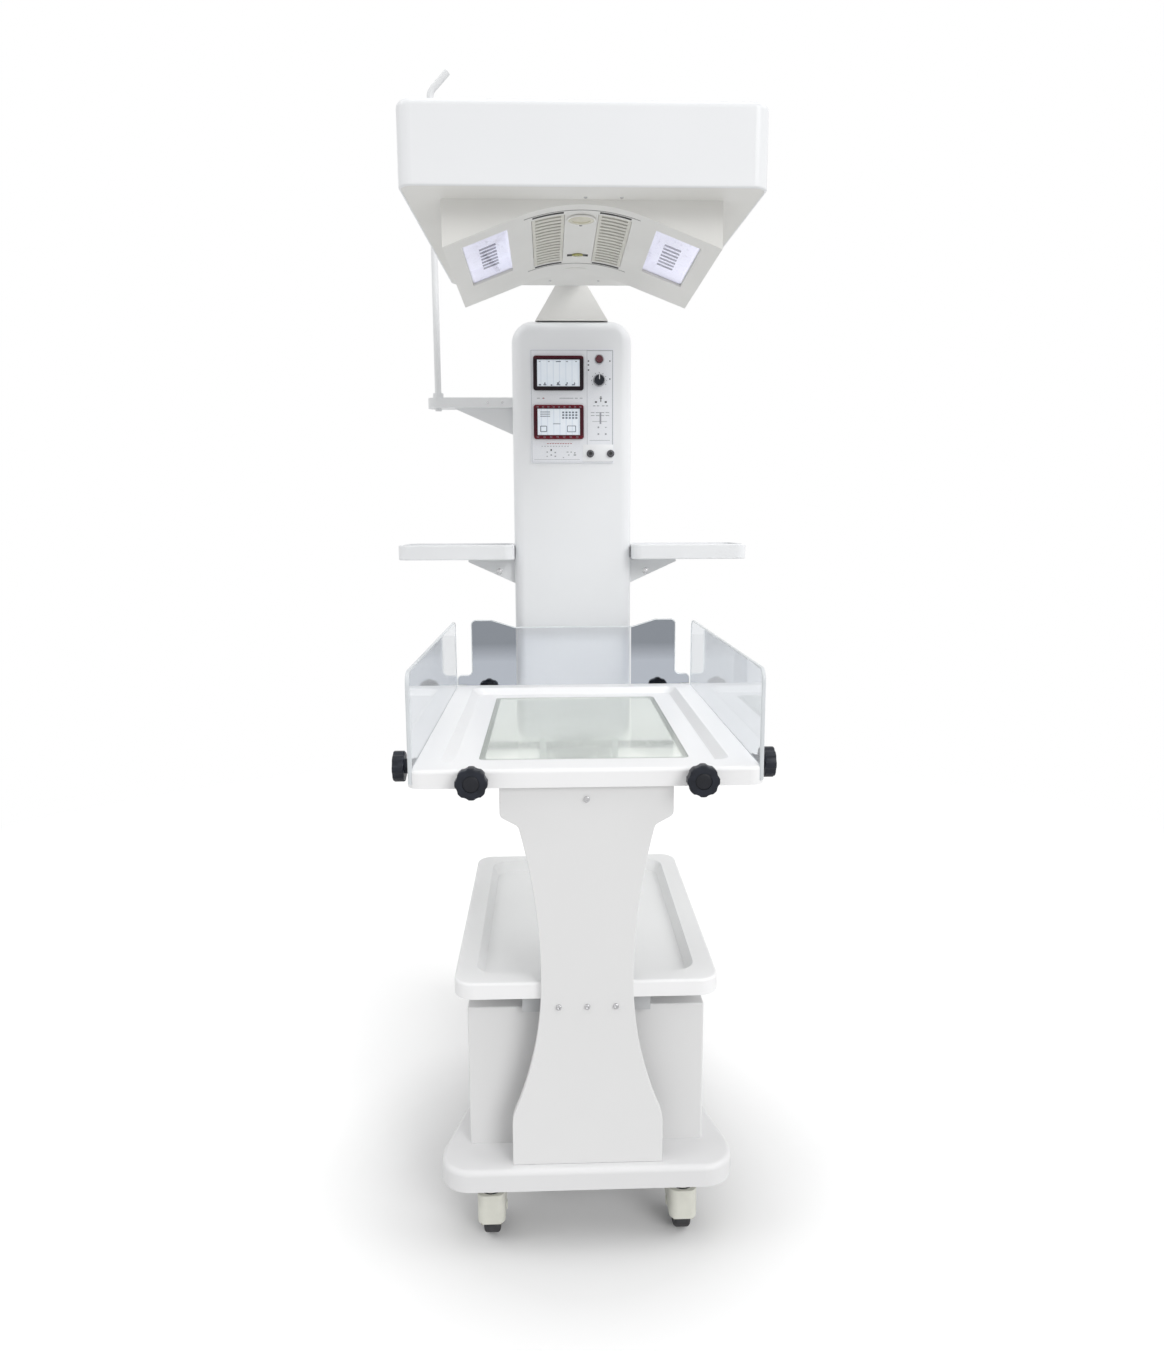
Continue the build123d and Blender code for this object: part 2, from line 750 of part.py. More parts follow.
for name, seat in knob_seats.items():
    reach_in = stud_length if name.startswith("front") else wall_inset
    with BuildPart() as knob:
        with BuildSketch(seat.offset(knob_face)):
            Circle(knob_core)
            with PolarLocations(knob_lobe_circle, knob_lobes):
                Circle(knob_lobe_radius)
        extrude(amount=knob_thick)
        fillet(faces().filter_by(Plane(origin=seat.origin, z_dir=seat.z_dir)).edges(), knob_round)
        with BuildSketch(seat.offset(knob_reach - knob_dish)):
            Circle(knob_dish_radius)
        extrude(amount=knob_dish, mode=Mode.SUBTRACT)
        with BuildSketch(seat.offset(collar_thick + face_gap)):
            Circle(knob_hub_radius)
        extrude(amount=knob_face - collar_thick - face_gap)
        with BuildSketch(seat.offset(-reach_in)):
            Circle(stud_radius)
        extrude(amount=reach_in + knob_face)
    knob.part.label = f"knob_{name}"
    export_step(knob.part, f"parts/knob_{name}.step")

# Tower: the front shell, its back cover and the control panel
shell_depth = 90.0
shell_floor = 745.0
shell_round = 26.0
shell_top_corner = 52.0
shell_foot_corner = 40.0
cover_round = 10.0
shell_mid_z = (shell_floor + tower_top) / 2
shell_height = tower_top - shell_floor

with BuildSketch() as shell_face:
    with Locations((0, shell_mid_z)):
        Rectangle(tower_width, shell_height)
    fillet(vertices().group_by(Axis.Y)[0], shell_foot_corner)
    fillet(vertices().group_by(Axis.Y)[-1], shell_top_corner)

plate_width = 204.0
plate_height = 270.0
plate_thick = 3.0
plate_drop = 68.0
plate_corner = 4.0
plate_top = tower_top - plate_drop
plate_mid = plate_top - plate_height / 2
plate_front = tower_front - plate_thick

button_x = 66.0
button_drop = 24.0
button_radius = 9.0
button_gap = 0.4
button_reach = 8.0
button_travel = 3.0
selector_drop = 73.0
spindle_radius = 3.0
socket_drop = 247.0
socket_x = (44.0, 94.0)
socket_hole_radius = 4.0
socket_stem_radius = 6.0
button_spot = (button_x, plate_top - button_drop)
selector_spot = (button_x, plate_top - selector_drop)
socket_spots = [(x, plate_top - socket_drop) for x in socket_x]
board_gap = 12.0
board_thick = 2.0
board_front = tower_front + tower_wall + board_gap

with BuildPart() as shell_core:
    with BuildSketch(upright(tower_front + tower_wall)):
        add(shell_face.sketch)
        offset(amount=-tower_wall, mode=Mode.REPLACE)
    extrude(amount=-tower_depth)
    fillet(faces().sort_by(Axis.Y)[0].edges(), shell_round - tower_wall)

with BuildPart() as tower_shell:
    with BuildSketch(upright(tower_front)):
        add(shell_face.sketch)
    extrude(amount=-shell_depth)
    fillet(faces().sort_by(Axis.Y)[0].edges(), shell_round)
    add(shell_core.part, mode=Mode.SUBTRACT)
    with BuildSketch(level(shell_floor)):
        with Locations((0, mast_mid)):
            Rectangle(mast_width + 2 * face_gap, mast_depth + 2 * face_gap)
    extrude(amount=tower_wall, mode=Mode.SUBTRACT)
    with BuildSketch(upright(tower_front)):
        with Locations(button_spot):
            Circle(button_radius + button_gap)
        with Locations(selector_spot):
            Circle(spindle_radius + button_gap)
        with Locations(*socket_spots):
            Circle(socket_stem_radius + face_gap)
    extrude(amount=-tower_wall, mode=Mode.SUBTRACT)
tower_shell.part.label = "tower_shell"
export_step(tower_shell.part, "parts/tower_shell.step")

with BuildPart() as control_plate:
    with BuildSketch(upright(tower_front)):
        with Locations((0, plate_mid)):
            RectangleRounded(plate_width, plate_height, plate_corner)
        with Locations(button_spot):
            Circle(button_radius + button_gap, mode=Mode.SUBTRACT)
        with Locations(selector_spot):
            Circle(spindle_radius + run_fit, mode=Mode.SUBTRACT)
        with Locations(*socket_spots):
            Circle(socket_stem_radius, mode=Mode.SUBTRACT)
    extrude(amount=plate_thick)
control_plate.part.label = "control_plate"
export_step(control_plate.part, "parts/control_plate.step")

display_width = 122.0
display_height = 81.0
display_thick = 6.0
display_corner = 6.0
display_bezel = 9.0
display_sink = 2.0
display_x = -33.0
display_round = 1.5
displays = {"upper_display": 16.0, "lower_display": 131.0}

for name, drop in displays.items():
    with BuildPart() as display:
        with BuildSketch(upright(plate_front)):
            with Locations((display_x, plate_top - drop - display_height / 2)):
                RectangleRounded(display_width, display_height, display_corner)
        extrude(amount=display_thick)
        fillet(faces().sort_by(Axis.Y)[0].edges(), display_round)
        with BuildSketch(upright(plate_front - display_thick)):
            with Locations((display_x, plate_top - drop - display_height / 2)):
                Rectangle(display_width - 2 * display_bezel, display_height - 2 * display_bezel)
        extrude(amount=-display_sink, mode=Mode.SUBTRACT)
    display.part.label = name
    export_step(display.part, f"parts/{name}.step")

with BuildPart() as red_button:
    with BuildSketch(upright(plate_front - button_reach)):
        with Locations(button_spot):
            Circle(button_radius)
    extrude(amount=plate_front - button_reach - board_front + button_travel + face_gap)
    fillet(faces().sort_by(Axis.Y)[0].edges(), button_gap * 4)
red_button.part.label = "red_button"
export_step(red_button.part, "parts/red_button.step")

selector_radius = 12.0
selector_thick = 14.0
selector_flutes = 16
flute_radius = 1.2

with BuildPart() as selector_knob:
    with BuildSketch(upright(plate_front - face_gap)):
        with Locations(selector_spot):
            Circle(selector_radius)
            with PolarLocations(selector_radius, selector_flutes):
                Circle(flute_radius, mode=Mode.SUBTRACT)
    extrude(amount=selector_thick)
    with BuildSketch(upright(plate_front - face_gap)):
        with Locations(selector_spot):
            Circle(spindle_radius)
    extrude(amount=plate_front - board_front)
selector_knob.part.label = "selector_knob"
export_step(selector_knob.part, "parts/selector_knob.step")

socket_flange_radius = 9.0
socket_flange = 4.0
socket_reach = 10.0
socket_depth = 12.0

with BuildPart() as probe_sockets:
    with BuildSketch(upright(plate_front)):
        with Locations(*socket_spots):
            Circle(socket_flange_radius)
    extrude(amount=socket_flange)
    with BuildSketch(upright(plate_front - socket_flange)):
        with Locations(*socket_spots):
            Circle(socket_stem_radius)
    extrude(amount=socket_reach - socket_flange)
    with BuildSketch(upright(plate_front)):
        with Locations(*socket_spots):
            Circle(socket_stem_radius)
    extrude(amount=plate_front - board_front)
    with BuildSketch(upright(plate_front - socket_reach)):
        with Locations(*socket_spots):
            Circle(socket_hole_radius)
    extrude(amount=-socket_depth, mode=Mode.SUBTRACT)
probe_sockets.part.label = "probe_sockets"
export_step(probe_sockets.part, "parts/probe_sockets.step")

with BuildPart() as control_board:
    with BuildSketch(upright(board_front)):
        with Locations((0, plate_mid)):
            Rectangle(plate_width - 2 * plate_corner, plate_height - 2 * plate_corner)
    extrude(amount=-board_thick)
    with BuildSketch(upright(tower_front + tower_wall)):
        with Locations((0, plate_mid)):
            with GridLocations(plate_width - 8 * plate_corner, plate_height - 8 * plate_corner, 2, 2):
                Circle(spindle_radius)
    extrude(amount=-board_gap)
control_board.part.label = "control_board"
export_step(control_board.part, "parts/control_board.step")

# Mains inlet and its rocker, low on the tower's back cover
inlet_width = 54.0
inlet_height = 66.0
inlet_flange = 3.0
inlet_border = 4.0
inlet_depth = 24.0
inlet_lift = 70.0
inlet_corner = 3.0
well_width = 28.0
well_height = 20.0
well_drop = 14.0
well_depth = 18.0
blade_width = 5.0
blade_thick = 2.0
blade_length = 14.0
blade_spacing = 8.0
rocker_width = 20.0
rocker_height = 14.0
rocker_rise = 16.0
rocker_depth = 10.0
rocker_gap = 0.8
rocker_pin = 1.5
rocker_pin_reach = 3.0
rocker_nose = 1.5
inlet_z = shell_floor + inlet_lift
rocker_z = inlet_z + rocker_rise

with BuildPart() as cover_core:
    with BuildSketch(upright(tower_front + shell_depth)):
        add(shell_face.sketch)
        offset(amount=-tower_wall, mode=Mode.REPLACE)
    extrude(amount=-(tower_depth - shell_depth - tower_wall))

with BuildPart() as tower_back_cover:
    with BuildSketch(upright(tower_front + shell_depth)):
        add(shell_face.sketch)
    extrude(amount=-(tower_depth - shell_depth))
    fillet(faces().sort_by(Axis.Y)[-1].edges(), cover_round - tower_wall)
    add(cover_core.part, mode=Mode.SUBTRACT)
    with BuildSketch(level(shell_floor)):
        with Locations((0, mast_mid)):
            Rectangle(mast_width + 2 * face_gap, mast_depth + 2 * face_gap)
    extrude(amount=tower_wall, mode=Mode.SUBTRACT)
    with BuildSketch(upright(tower_back)):
        with Locations((0, inlet_z)):
            Rectangle(inlet_width - 2 * inlet_border, inlet_height - 2 * inlet_border)
    extrude(amount=tower_wall, mode=Mode.SUBTRACT)
tower_back_cover.part.label = "tower_back_cover"
export_step(tower_back_cover.part, "parts/tower_back_cover.step")

with BuildPart() as mains_inlet:
    with BuildSketch(upright(tower_back)):
        with Locations((0, inlet_z)):
            RectangleRounded(inlet_width, inlet_height, inlet_corner)
    extrude(amount=-inlet_flange)
    with BuildSketch(upright(tower_back)):
        with Locations((0, inlet_z)):
            Rectangle(inlet_width - 2 * inlet_border, inlet_height - 2 * inlet_border)
    extrude(amount=inlet_depth)
    with BuildSketch(upright(tower_back + inlet_flange)):
        with Locations((0, inlet_z - well_drop)):
            RectangleRounded(well_width, well_height, inlet_corner)
    extrude(amount=well_depth + inlet_flange, mode=Mode.SUBTRACT)
    with BuildSketch(upright(tower_back + inlet_flange)):
        with Locations((0, rocker_z)):
            Rectangle(rocker_width + 2 * rocker_gap, rocker_height + 2 * rocker_gap)
    extrude(amount=rocker_depth + rocker_height, mode=Mode.SUBTRACT)
    with BuildSketch(sideways(0)):
        with Locations((tower_back, rocker_z)):
            Circle(rocker_pin + run_fit)
    extrude(amount=rocker_width / 2 + rocker_pin_reach, both=True, mode=Mode.SUBTRACT)
    with BuildSketch(upright(tower_back - well_depth)):
        with Locations(*[(x, inlet_z - well_drop) for x in (-blade_spacing, 0, blade_spacing)]):
            Rectangle(blade_thick, blade_width)
    extrude(amount=-blade_length)
mains_inlet.part.label = "mains_inlet"
export_step(mains_inlet.part, "parts/mains_inlet.step")

with BuildPart() as mains_rocker:
    with BuildSketch(sideways(0)):
        with Locations((tower_back, rocker_z)):
            Circle(rocker_depth / 2 + rocker_nose)
            Rectangle(rocker_depth, rocker_height / 2)
            Circle(rocker_height / 2)
    extrude(amount=rocker_width / 2, both=True)
    with BuildSketch(sideways(0)):
        with Locations((tower_back, rocker_z)):
            Circle(rocker_pin)
    extrude(amount=rocker_width / 2 + rocker_pin_reach - face_gap, both=True)
mains_rocker.part.label = "mains_rocker"
export_step(mains_rocker.part, "parts/mains_rocker.step")

# Side shelves and the brackets under them
shelf_reach = 430.0
shelf_depth = 216.0
shelf_top = 1254.0
shelf_edge = 36.0
shelf_corner = 24.0
shelf_sink = 10.0
shelf_rim = 8.0
shelf_wall = 3.0
shelf_round = 3.0
gusset_length = 118.0
gusset_drop = 62.0
gusset_width = 56.0
gusset_wall = 3.0
gusset_tip = 8.0
shelf_width = shelf_reach - tower_width / 2
shelf_mid_x = tower_width / 2 + shelf_width / 2
shelf_floor = shelf_top - shelf_edge
recess_width = shelf_width - 2 * shelf_rim
recess_depth = shelf_depth - 2 * shelf_rim

for name, x in (("shelf_left", -shelf_mid_x), ("shelf_right", shelf_mid_x)):
    with BuildPart() as shelf:
        with BuildSketch(level(shelf_floor)):
            with Locations((x, tower_middle)):
                RectangleRounded(shelf_width, shelf_depth, shelf_corner)
        extrude(amount=shelf_edge)
        fillet(faces().sort_by(Axis.Z)[-1].edges() + faces().sort_by(Axis.Z)[0].edges(), shelf_round)
        with BuildSketch(level(shelf_top - shelf_sink)):
            with Locations((x, tower_middle)):
                RectangleRounded(recess_width, recess_depth, shelf_corner - shelf_rim)
        extrude(amount=shelf_sink, mode=Mode.SUBTRACT)
        with BuildSketch(level(shelf_floor)):
            with Locations((x, tower_middle)):
                RectangleRounded(recess_width, recess_depth, shelf_corner - shelf_rim)
        extrude(amount=shelf_edge - shelf_sink - shelf_wall, mode=Mode.SUBTRACT)
        with BuildSketch(level(shelf_floor)):
            with Locations((x, tower_middle)):
                Rectangle(recess_width, gusset_width)
        extrude(amount=shelf_edge - shelf_sink - shelf_wall)
    shelf.part.label = name
    export_step(shelf.part, f"parts/{name}.step")

with BuildPart() as shelf_brackets:
    for side in (-1, 1):
        root = side * tower_width / 2
        tip = root + side * gusset_length
        with BuildSketch(upright(tower_middle)):
            with BuildLine():
                Polyline(
                    (root, shelf_floor),
                    (tip, shelf_floor),
                    (tip, shelf_floor - gusset_tip),
                    (root, shelf_floor - gusset_drop),
                    close=True,
                )
            make_face()
        extrude(amount=gusset_width / 2, both=True)
        with BuildSketch(upright(tower_middle)):
            with BuildLine():
                Polyline(
                    (root, shelf_floor - gusset_wall),
                    (tip - side * 2 * gusset_tip, shelf_floor - gusset_wall),
                    (root, shelf_floor - gusset_drop + 2 * gusset_wall),
                    close=True,
                )
            make_face()
        extrude(amount=gusset_width / 2 - gusset_wall, both=True, mode=Mode.SUBTRACT)
shelf_brackets.part.label = "shelf_brackets"
export_step(shelf_brackets.part, "parts/shelf_brackets.step")

# Drip stand: an arm on the left of the tower and a hooked pole that turns in it
pole_x = -332.0
pole_radius = 8.0
pole_top = 2318.0
hook_bend = 30.0
hook_reach = 42.0
hook_rise = 44.0
arm_depth = 50.0
arm_height = 24.0
arm_top = 1614.0
arm_nose = 25.0
arm_drop = 88.0
arm_tip = 40.0
arm_wall = 3.0
pole_collar_radius = 13.0
pole_collar = 12.0
pole_tail = 6.0
arm_floor = arm_top - arm_height
arm_root = -tower_width / 2

with BuildPart() as drip_arm:
    with BuildSketch(level(arm_floor)):
        with Locations(((pole_x + arm_root) / 2, tower_middle)):
            Rectangle(arm_root - pole_x, arm_depth)
        with Locations((pole_x, tower_middle)):
            Circle(arm_nose)
    extrude(amount=arm_height)
    with BuildSketch(upright(tower_middle)):
        with BuildLine():
            Polyline(
                (arm_root, arm_floor),
                (pole_x + arm_tip, arm_floor),
                (arm_root, arm_top - arm_drop),
                close=True,
            )
        make_face()
    extrude(amount=arm_wall, both=True)
    with BuildSketch(level(arm_floor)):
        with Locations((pole_x, tower_middle)):
            Circle(pole_radius + run_fit)
    extrude(amount=arm_height, mode=Mode.SUBTRACT)
drip_arm.part.label = "drip_arm"
export_step(drip_arm.part, "parts/drip_arm.step")

with BuildPart() as drip_pole:
    with BuildLine() as pole_path:
        FilletPolyline(
            (pole_x, tower_middle, arm_floor - pole_tail),
            (pole_x, tower_middle, pole_top),
            (pole_x + hook_reach, tower_middle, pole_top + hook_rise),
            radius=hook_bend,
        )
    with BuildSketch(level(arm_floor - pole_tail)):
        with Locations((pole_x, tower_middle)):
            Circle(pole_radius)
    sweep(path=pole_path.line)
    with BuildSketch(level(arm_top + face_gap)):
        with Locations((pole_x, tower_middle)):
            Circle(pole_collar_radius)
    extrude(amount=pole_collar)
drip_pole.part.label = "drip_pole"
export_step(drip_pole.part, "parts/drip_pole.step")

# Neck on top of the tower, and the arm that carries the hood and turns in it
neck_base_width = 176.0
neck_top_width = 74.0
neck_base_depth = 110.0
neck_top_depth = 74.0
neck_height = 88.0
neck_wall = 5.0
boss_radius = 36.0
boss_height = 8.0
swivel_radius = 15.0
swivel_length = 60.0
swivel_tube = 7.0
swivel_end_gap = 2.0
hood_arm_width = 60.0
hood_arm_height = 34.0
hood_arm_wall = 4.0
hood_flange = 6.0
hood_flange_width = 130.0
hood_flange_height = 80.0
hood_flange_corner = 8.0
hood_inset = 40.0
hood_depth = 625.0
neck_top = tower_top + neck_height
boss_top = neck_top + boss_height
hood_front = bed_front + hood_inset
hood_back = hood_front + hood_depth
hood_arm_floor = boss_top + face_gap
hood_arm_mid = hood_arm_floor + hood_arm_height / 2
arm_end = hood_back + hood_flange

with BuildPart() as neck_bracket:
    with BuildSketch(level(tower_top)):
        with Locations((0, tower_middle)):
            Rectangle(neck_base_width, neck_base_depth)
    with BuildSketch(level(neck_top)):
        with Locations((0, tower_middle)):
            Rectangle(neck_top_width, neck_top_depth)
    loft()
    with BuildSketch(level(tower_top)):
        with Locations((0, tower_middle)):
            Rectangle(neck_base_width - 2 * neck_wall, neck_base_depth - 2 * neck_wall)
    with BuildSketch(level(neck_top - neck_wall)):
        with Locations((0, tower_middle)):
            Rectangle(neck_top_width - 2 * neck_wall, neck_top_depth - 2 * neck_wall)
    loft(mode=Mode.SUBTRACT)
    with BuildSketch(level(tower_top)):
        with Locations((0, tower_middle)):
            Circle(swivel_radius + swivel_tube)
    extrude(amount=neck_height)
    with BuildSketch(level(neck_top)):
        with Locations((0, tower_middle)):
            Circle(boss_radius)
    extrude(amount=boss_height)
    with BuildSketch(level(boss_top - swivel_length - swivel_end_gap)):
        with Locations((0, tower_middle)):
            Circle(swivel_radius + run_fit)
    extrude(amount=swivel_length + swivel_end_gap, mode=Mode.SUBTRACT)
neck_bracket.part.label = "neck_bracket"
export_step(neck_bracket.part, "parts/neck_bracket.step")

with BuildPart() as hood_arm:
    with BuildSketch(level(hood_arm_floor)):
        with Locations((0, tower_middle)):
            Circle(boss_radius)
        with Locations((0, (tower_middle + arm_end) / 2)):
            Rectangle(hood_arm_width, tower_middle - arm_end)
    extrude(amount=hood_arm_height)
    with BuildSketch(upright(arm_end)):
        with Locations((0, hood_arm_mid)):
            Rectangle(hood_arm_width - 2 * hood_arm_wall, hood_arm_height - 2 * hood_arm_wall)
    extrude(amount=-(tower_middle - boss_radius - arm_end), mode=Mode.SUBTRACT)
    with BuildSketch(upright(arm_end)):
        with Locations((0, hood_arm_mid)):
            RectangleRounded(hood_flange_width, hood_flange_height, hood_flange_corner)
    extrude(amount=hood_flange)
    with BuildSketch(level(boss_top - swivel_length)):
        with Locations((0, tower_middle)):
            Circle(swivel_radius)
    extrude(amount=swivel_length + face_gap)
hood_arm.part.label = "hood_arm"
export_step(hood_arm.part, "parts/hood_arm.step")

# Hood: the shell and the plate that closes it from below
hood_front_width = 580.0
hood_back_width = 532.0
hood_height = 127.0
hood_corner = 24.0
hood_round = 12.0
hood_wall = 4.0
hood_foot_round = 3.0
pan_thick = 4.0
module_width = 456.0
module_inset = 63.0
module_depth = 436.0
module_wall = 4.0
module_front = hood_front + module_inset
module_back = module_front + module_depth

with BuildSketch() as hood_plan:
    with BuildLine():
        Polyline(
            (-hood_front_width / 2, hood_front),
            (hood_front_width / 2, hood_front),
            (hood_back_width / 2, hood_back),
            (-hood_back_width / 2, hood_back),
            close=True,
        )
    make_face()
    fillet(vertices(), hood_corner)

with BuildPart() as hood_shell:
    with BuildSketch(level(hood_floor)):
        add(hood_plan.sketch)
    extrude(amount=hood_height)
    fillet(faces().sort_by(Axis.Z)[-1].edges(), hood_round)
    fillet(faces().sort_by(Axis.Z)[0].edges(), hood_foot_round)
    with BuildSketch(level(hood_floor)):
        add(hood_plan.sketch)
        offset(amount=-hood_wall, mode=Mode.REPLACE)
    extrude(amount=hood_height - hood_wall, mode=Mode.SUBTRACT)
hood_shell.part.label = "hood_shell"
export_step(hood_shell.part, "parts/hood_shell.step")

module_middle = (module_front + module_back) / 2

with BuildPart() as hood_pan:
    with BuildSketch(level(hood_floor)):
        add(hood_plan.sketch)
        offset(amount=-hood_wall - face_gap, mode=Mode.REPLACE)
        with Locations((0, module_middle)):
            Rectangle(module_width - 2 * module_wall, module_depth - 2 * module_wall, mode=Mode.SUBTRACT)
    extrude(amount=pan_thick)
hood_pan.part.label = "hood_pan"
export_step(hood_pan.part, "parts/hood_pan.step")

# Heater module: an arched housing with two lamp windows and two grilles
arch_radius = 293.0
arch_half_angle = 21.0
arch_drop = 7.0
window_inner_x = 124.0
window_outer_x = 200.0
pane_front = 43.0
pane_length = 257.0
grille_inner_x = 28.0
grille_outer_x = 84.0
grille_front = 47.0
grille_length = 282.0
lamp_radius = 20.0
lamp_front = 72.0
arch_centre_z = hood_floor - arch_drop - arch_radius
arch_slope = math.tan(math.radians(arch_half_angle))


def arch_points(thickness, half_width, roof):
    radius = arch_radius + thickness
    knee_x = radius * math.sin(math.radians(arch_half_angle))
    knee_z = arch_centre_z + radius * math.cos(math.radians(arch_half_angle))
    end_z = knee_z - (half_width - knee_x) * arch_slope
    return [
        (half_width, roof),
        (half_width, end_z),
        (knee_x, knee_z),
        (0, arch_centre_z + radius),
        (-knee_x, knee_z),
        (-half_width, end_z),
        (-half_width, roof),
    ]


arch_outside = arch_points(0, module_width / 2, hood_floor)
arch_inside = arch_points(module_wall, module_width / 2 - module_wall, hood_floor + cut_over)

with BuildSketch() as arch_outer:
    with BuildLine():
        Polyline(*arch_outside[:3])
        ThreePointArc(*arch_outside[2:5])
        Polyline(*arch_outside[4:], arch_outside[0])
    make_face()

with BuildSketch() as arch_inner:
    with BuildLine():
        Polyline(*arch_inside[:3])
        ThreePointArc(*arch_inside[2:5])
        Polyline(*arch_inside[4:], arch_inside[0])
    make_face()

pane_x = (window_inner_x + window_outer_x) / 2
pane_width = window_outer_x - window_inner_x
pane_middle = module_front + pane_front + pane_length / 2
grille_x = (grille_inner_x + grille_outer_x) / 2
grille_width = grille_outer_x - grille_inner_x
grille_middle = module_front + grille_front + grille_length / 2
lamp_y = module_front + lamp_front
arch_low = arch_outside[1][1]

with BuildPart() as heater_arch:
    with BuildSketch(upright(module_front)):
        add(arch_outer.sketch)
    extrude(amount=-module_depth)
    with BuildSketch(upright(module_front + module_wall)):
        add(arch_inner.sketch)
    extrude(amount=-(module_depth - 2 * module_wall), mode=Mode.SUBTRACT)
    with BuildSketch(level(arch_low)):
        with Locations((-pane_x, pane_middle), (pane_x, pane_middle)):
            Rectangle(pane_width, pane_length)
        with Locations((-grille_x, grille_middle), (grille_x, grille_middle)):
            Rectangle(grille_width, grille_length)
        with Locations((0, lamp_y)):
            Circle(lamp_radius + face_gap)
    extrude(amount=hood_floor - arch_low, mode=Mode.SUBTRACT)
heater_arch.part.label = "heater_arch"
export_step(heater_arch.part, "parts/heater_arch.step")

slat_count = 18
slat_slot = 8.0
grille_frame = 5.0
grille_thick = 3.0
grille_clear_width = grille_width - 2 * face_gap
grille_clear_length = grille_length - 2 * face_gap

with BuildPart() as heater_grilles:
    with BuildSketch(upright(grille_middle)):
        with Locations((0, arch_centre_z)):
            Circle(arch_radius + grille_thick)
            Circle(arch_radius, mode=Mode.SUBTRACT)
        with Locations((-grille_x, hood_floor), (grille_x, hood_floor)):
            Rectangle(grille_clear_width, grille_width, mode=Mode.INTERSECT)
    extrude(amount=grille_clear_length / 2, both=True)
    with BuildSketch(level(arch_low)):
        for x in (-grille_x, grille_x):
            with Locations((x, grille_middle)):
                with GridLocations(grille_width, (grille_length - grille_frame) / slat_count, 1, slat_count):
                    Rectangle(grille_width - 2 * grille_frame, slat_slot)
    extrude(amount=hood_floor + grille_thick - arch_low, mode=Mode.SUBTRACT)
heater_grilles.part.label = "heater_grilles"
export_step(heater_grilles.part, "parts/heater_grilles.step")

pane_thick = 3.0
pane_margin = 5.0
pane_mid_radius = arch_radius + module_wall
pane_knee_x = pane_mid_radius * math.sin(math.radians(arch_half_angle))
pane_knee_z = arch_centre_z + pane_mid_radius * math.cos(math.radians(arch_half_angle))
pane_z = pane_knee_z - (pane_x - pane_knee_x) * arch_slope
pane_tilt = math.radians(arch_half_angle)

with BuildPart() as light_windows:
    for side in (-1, 1):
        facet = Plane(
            origin=(side * pane_x, pane_middle, pane_z),
            x_dir=(math.cos(pane_tilt), 0, -side * math.sin(pane_tilt)),
            z_dir=(side * math.sin(pane_tilt), 0, math.cos(pane_tilt)),
        )
        with BuildSketch(facet):
            Rectangle(pane_width / math.cos(pane_tilt) + 2 * pane_margin, pane_length + 2 * pane_margin)
        extrude(amount=pane_thick)
light_windows.part.label = "light_windows"
export_step(light_windows.part, "parts/light_windows.step")

# Radiant rods in their reflectors, above the grilles
reflector_radius = 31.0
reflector_skin = 1.5
reflector_end = 2.0
rod_radius = 6.0
rod_rise = 15.0
rod_overhang = 6.0
reflector_seat = math.sqrt((arch_radius + module_wall) ** 2 - (grille_x - reflector_radius) ** 2)
reflector_z = arch_centre_z + reflector_seat + face_gap
reflector_length = grille_length + 2 * reflector_end

with BuildPart() as reflectors:
    with BuildSketch(upright(grille_middle)):
        with Locations((-grille_x, reflector_z), (grille_x, reflector_z)):
            Circle(reflector_radius)
            Circle(reflector_radius - reflector_skin, mode=Mode.SUBTRACT)
        with Locations((0, reflector_z + reflector_radius)):
            Rectangle(4 * grille_outer_x, 2 * reflector_radius, mode=Mode.INTERSECT)
    extrude(amount=reflector_length / 2, both=True)
    for end in (-1, 1):
        with BuildSketch(upright(grille_middle + end * reflector_length / 2)):
            with Locations((-grille_x, reflector_z), (grille_x, reflector_z)):
                Circle(reflector_radius)
            with Locations((0, reflector_z + reflector_radius)):
                Rectangle(4 * grille_outer_x, 2 * reflector_radius, mode=Mode.INTERSECT)
            with Locations((-grille_x, reflector_z + rod_rise), (grille_x, reflector_z + rod_rise)):
                Circle(rod_radius + run_fit, mode=Mode.SUBTRACT)
        extrude(amount=end * reflector_end)
reflectors.part.label = "reflectors"
export_step(reflectors.part, "parts/reflectors.step")

with BuildPart() as heater_rods:
    with BuildSketch(upright(grille_middle)):
        with Locations((-grille_x, reflector_z + rod_rise), (grille_x, reflector_z + rod_rise)):
            Circle(rod_radius)
    extrude(amount=reflector_length / 2 + rod_overhang, both=True)
heater_rods.part.label = "heater_rods"
export_step(heater_rods.part, "parts/heater_rods.step")

lamp_lip = 4.0
lamp_lip_thick = 2.0
lamp_body = 22.0
lamp_dish = 1.2
lamp_sag = arch_radius - math.sqrt(arch_radius**2 - (lamp_radius + lamp_lip) ** 2)
lamp_floor = hood_floor - arch_drop - lamp_sag - face_gap - lamp_lip_thick

with BuildPart() as exam_lamp:
    with BuildSketch(level(lamp_floor)):
        with Locations((0, lamp_y)):
            Circle(lamp_radius + lamp_lip)
    extrude(amount=lamp_lip_thick)
    with BuildSketch(level(lamp_floor)):
        with Locations((0, lamp_y)):
            Circle(lamp_radius)
    extrude(amount=lamp_body)
    with BuildSketch(level(lamp_floor)):
        with Locations((0, lamp_y)):
            Circle(lamp_radius - lamp_lip)
    extrude(amount=lamp_dish, mode=Mode.SUBTRACT)
exam_lamp.part.label = "exam_lamp"
export_step(exam_lamp.part, "parts/exam_lamp.step")
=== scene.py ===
import json
import math
from contextlib import contextmanager

import bmesh
import bpy
from mathutils import Matrix, Vector


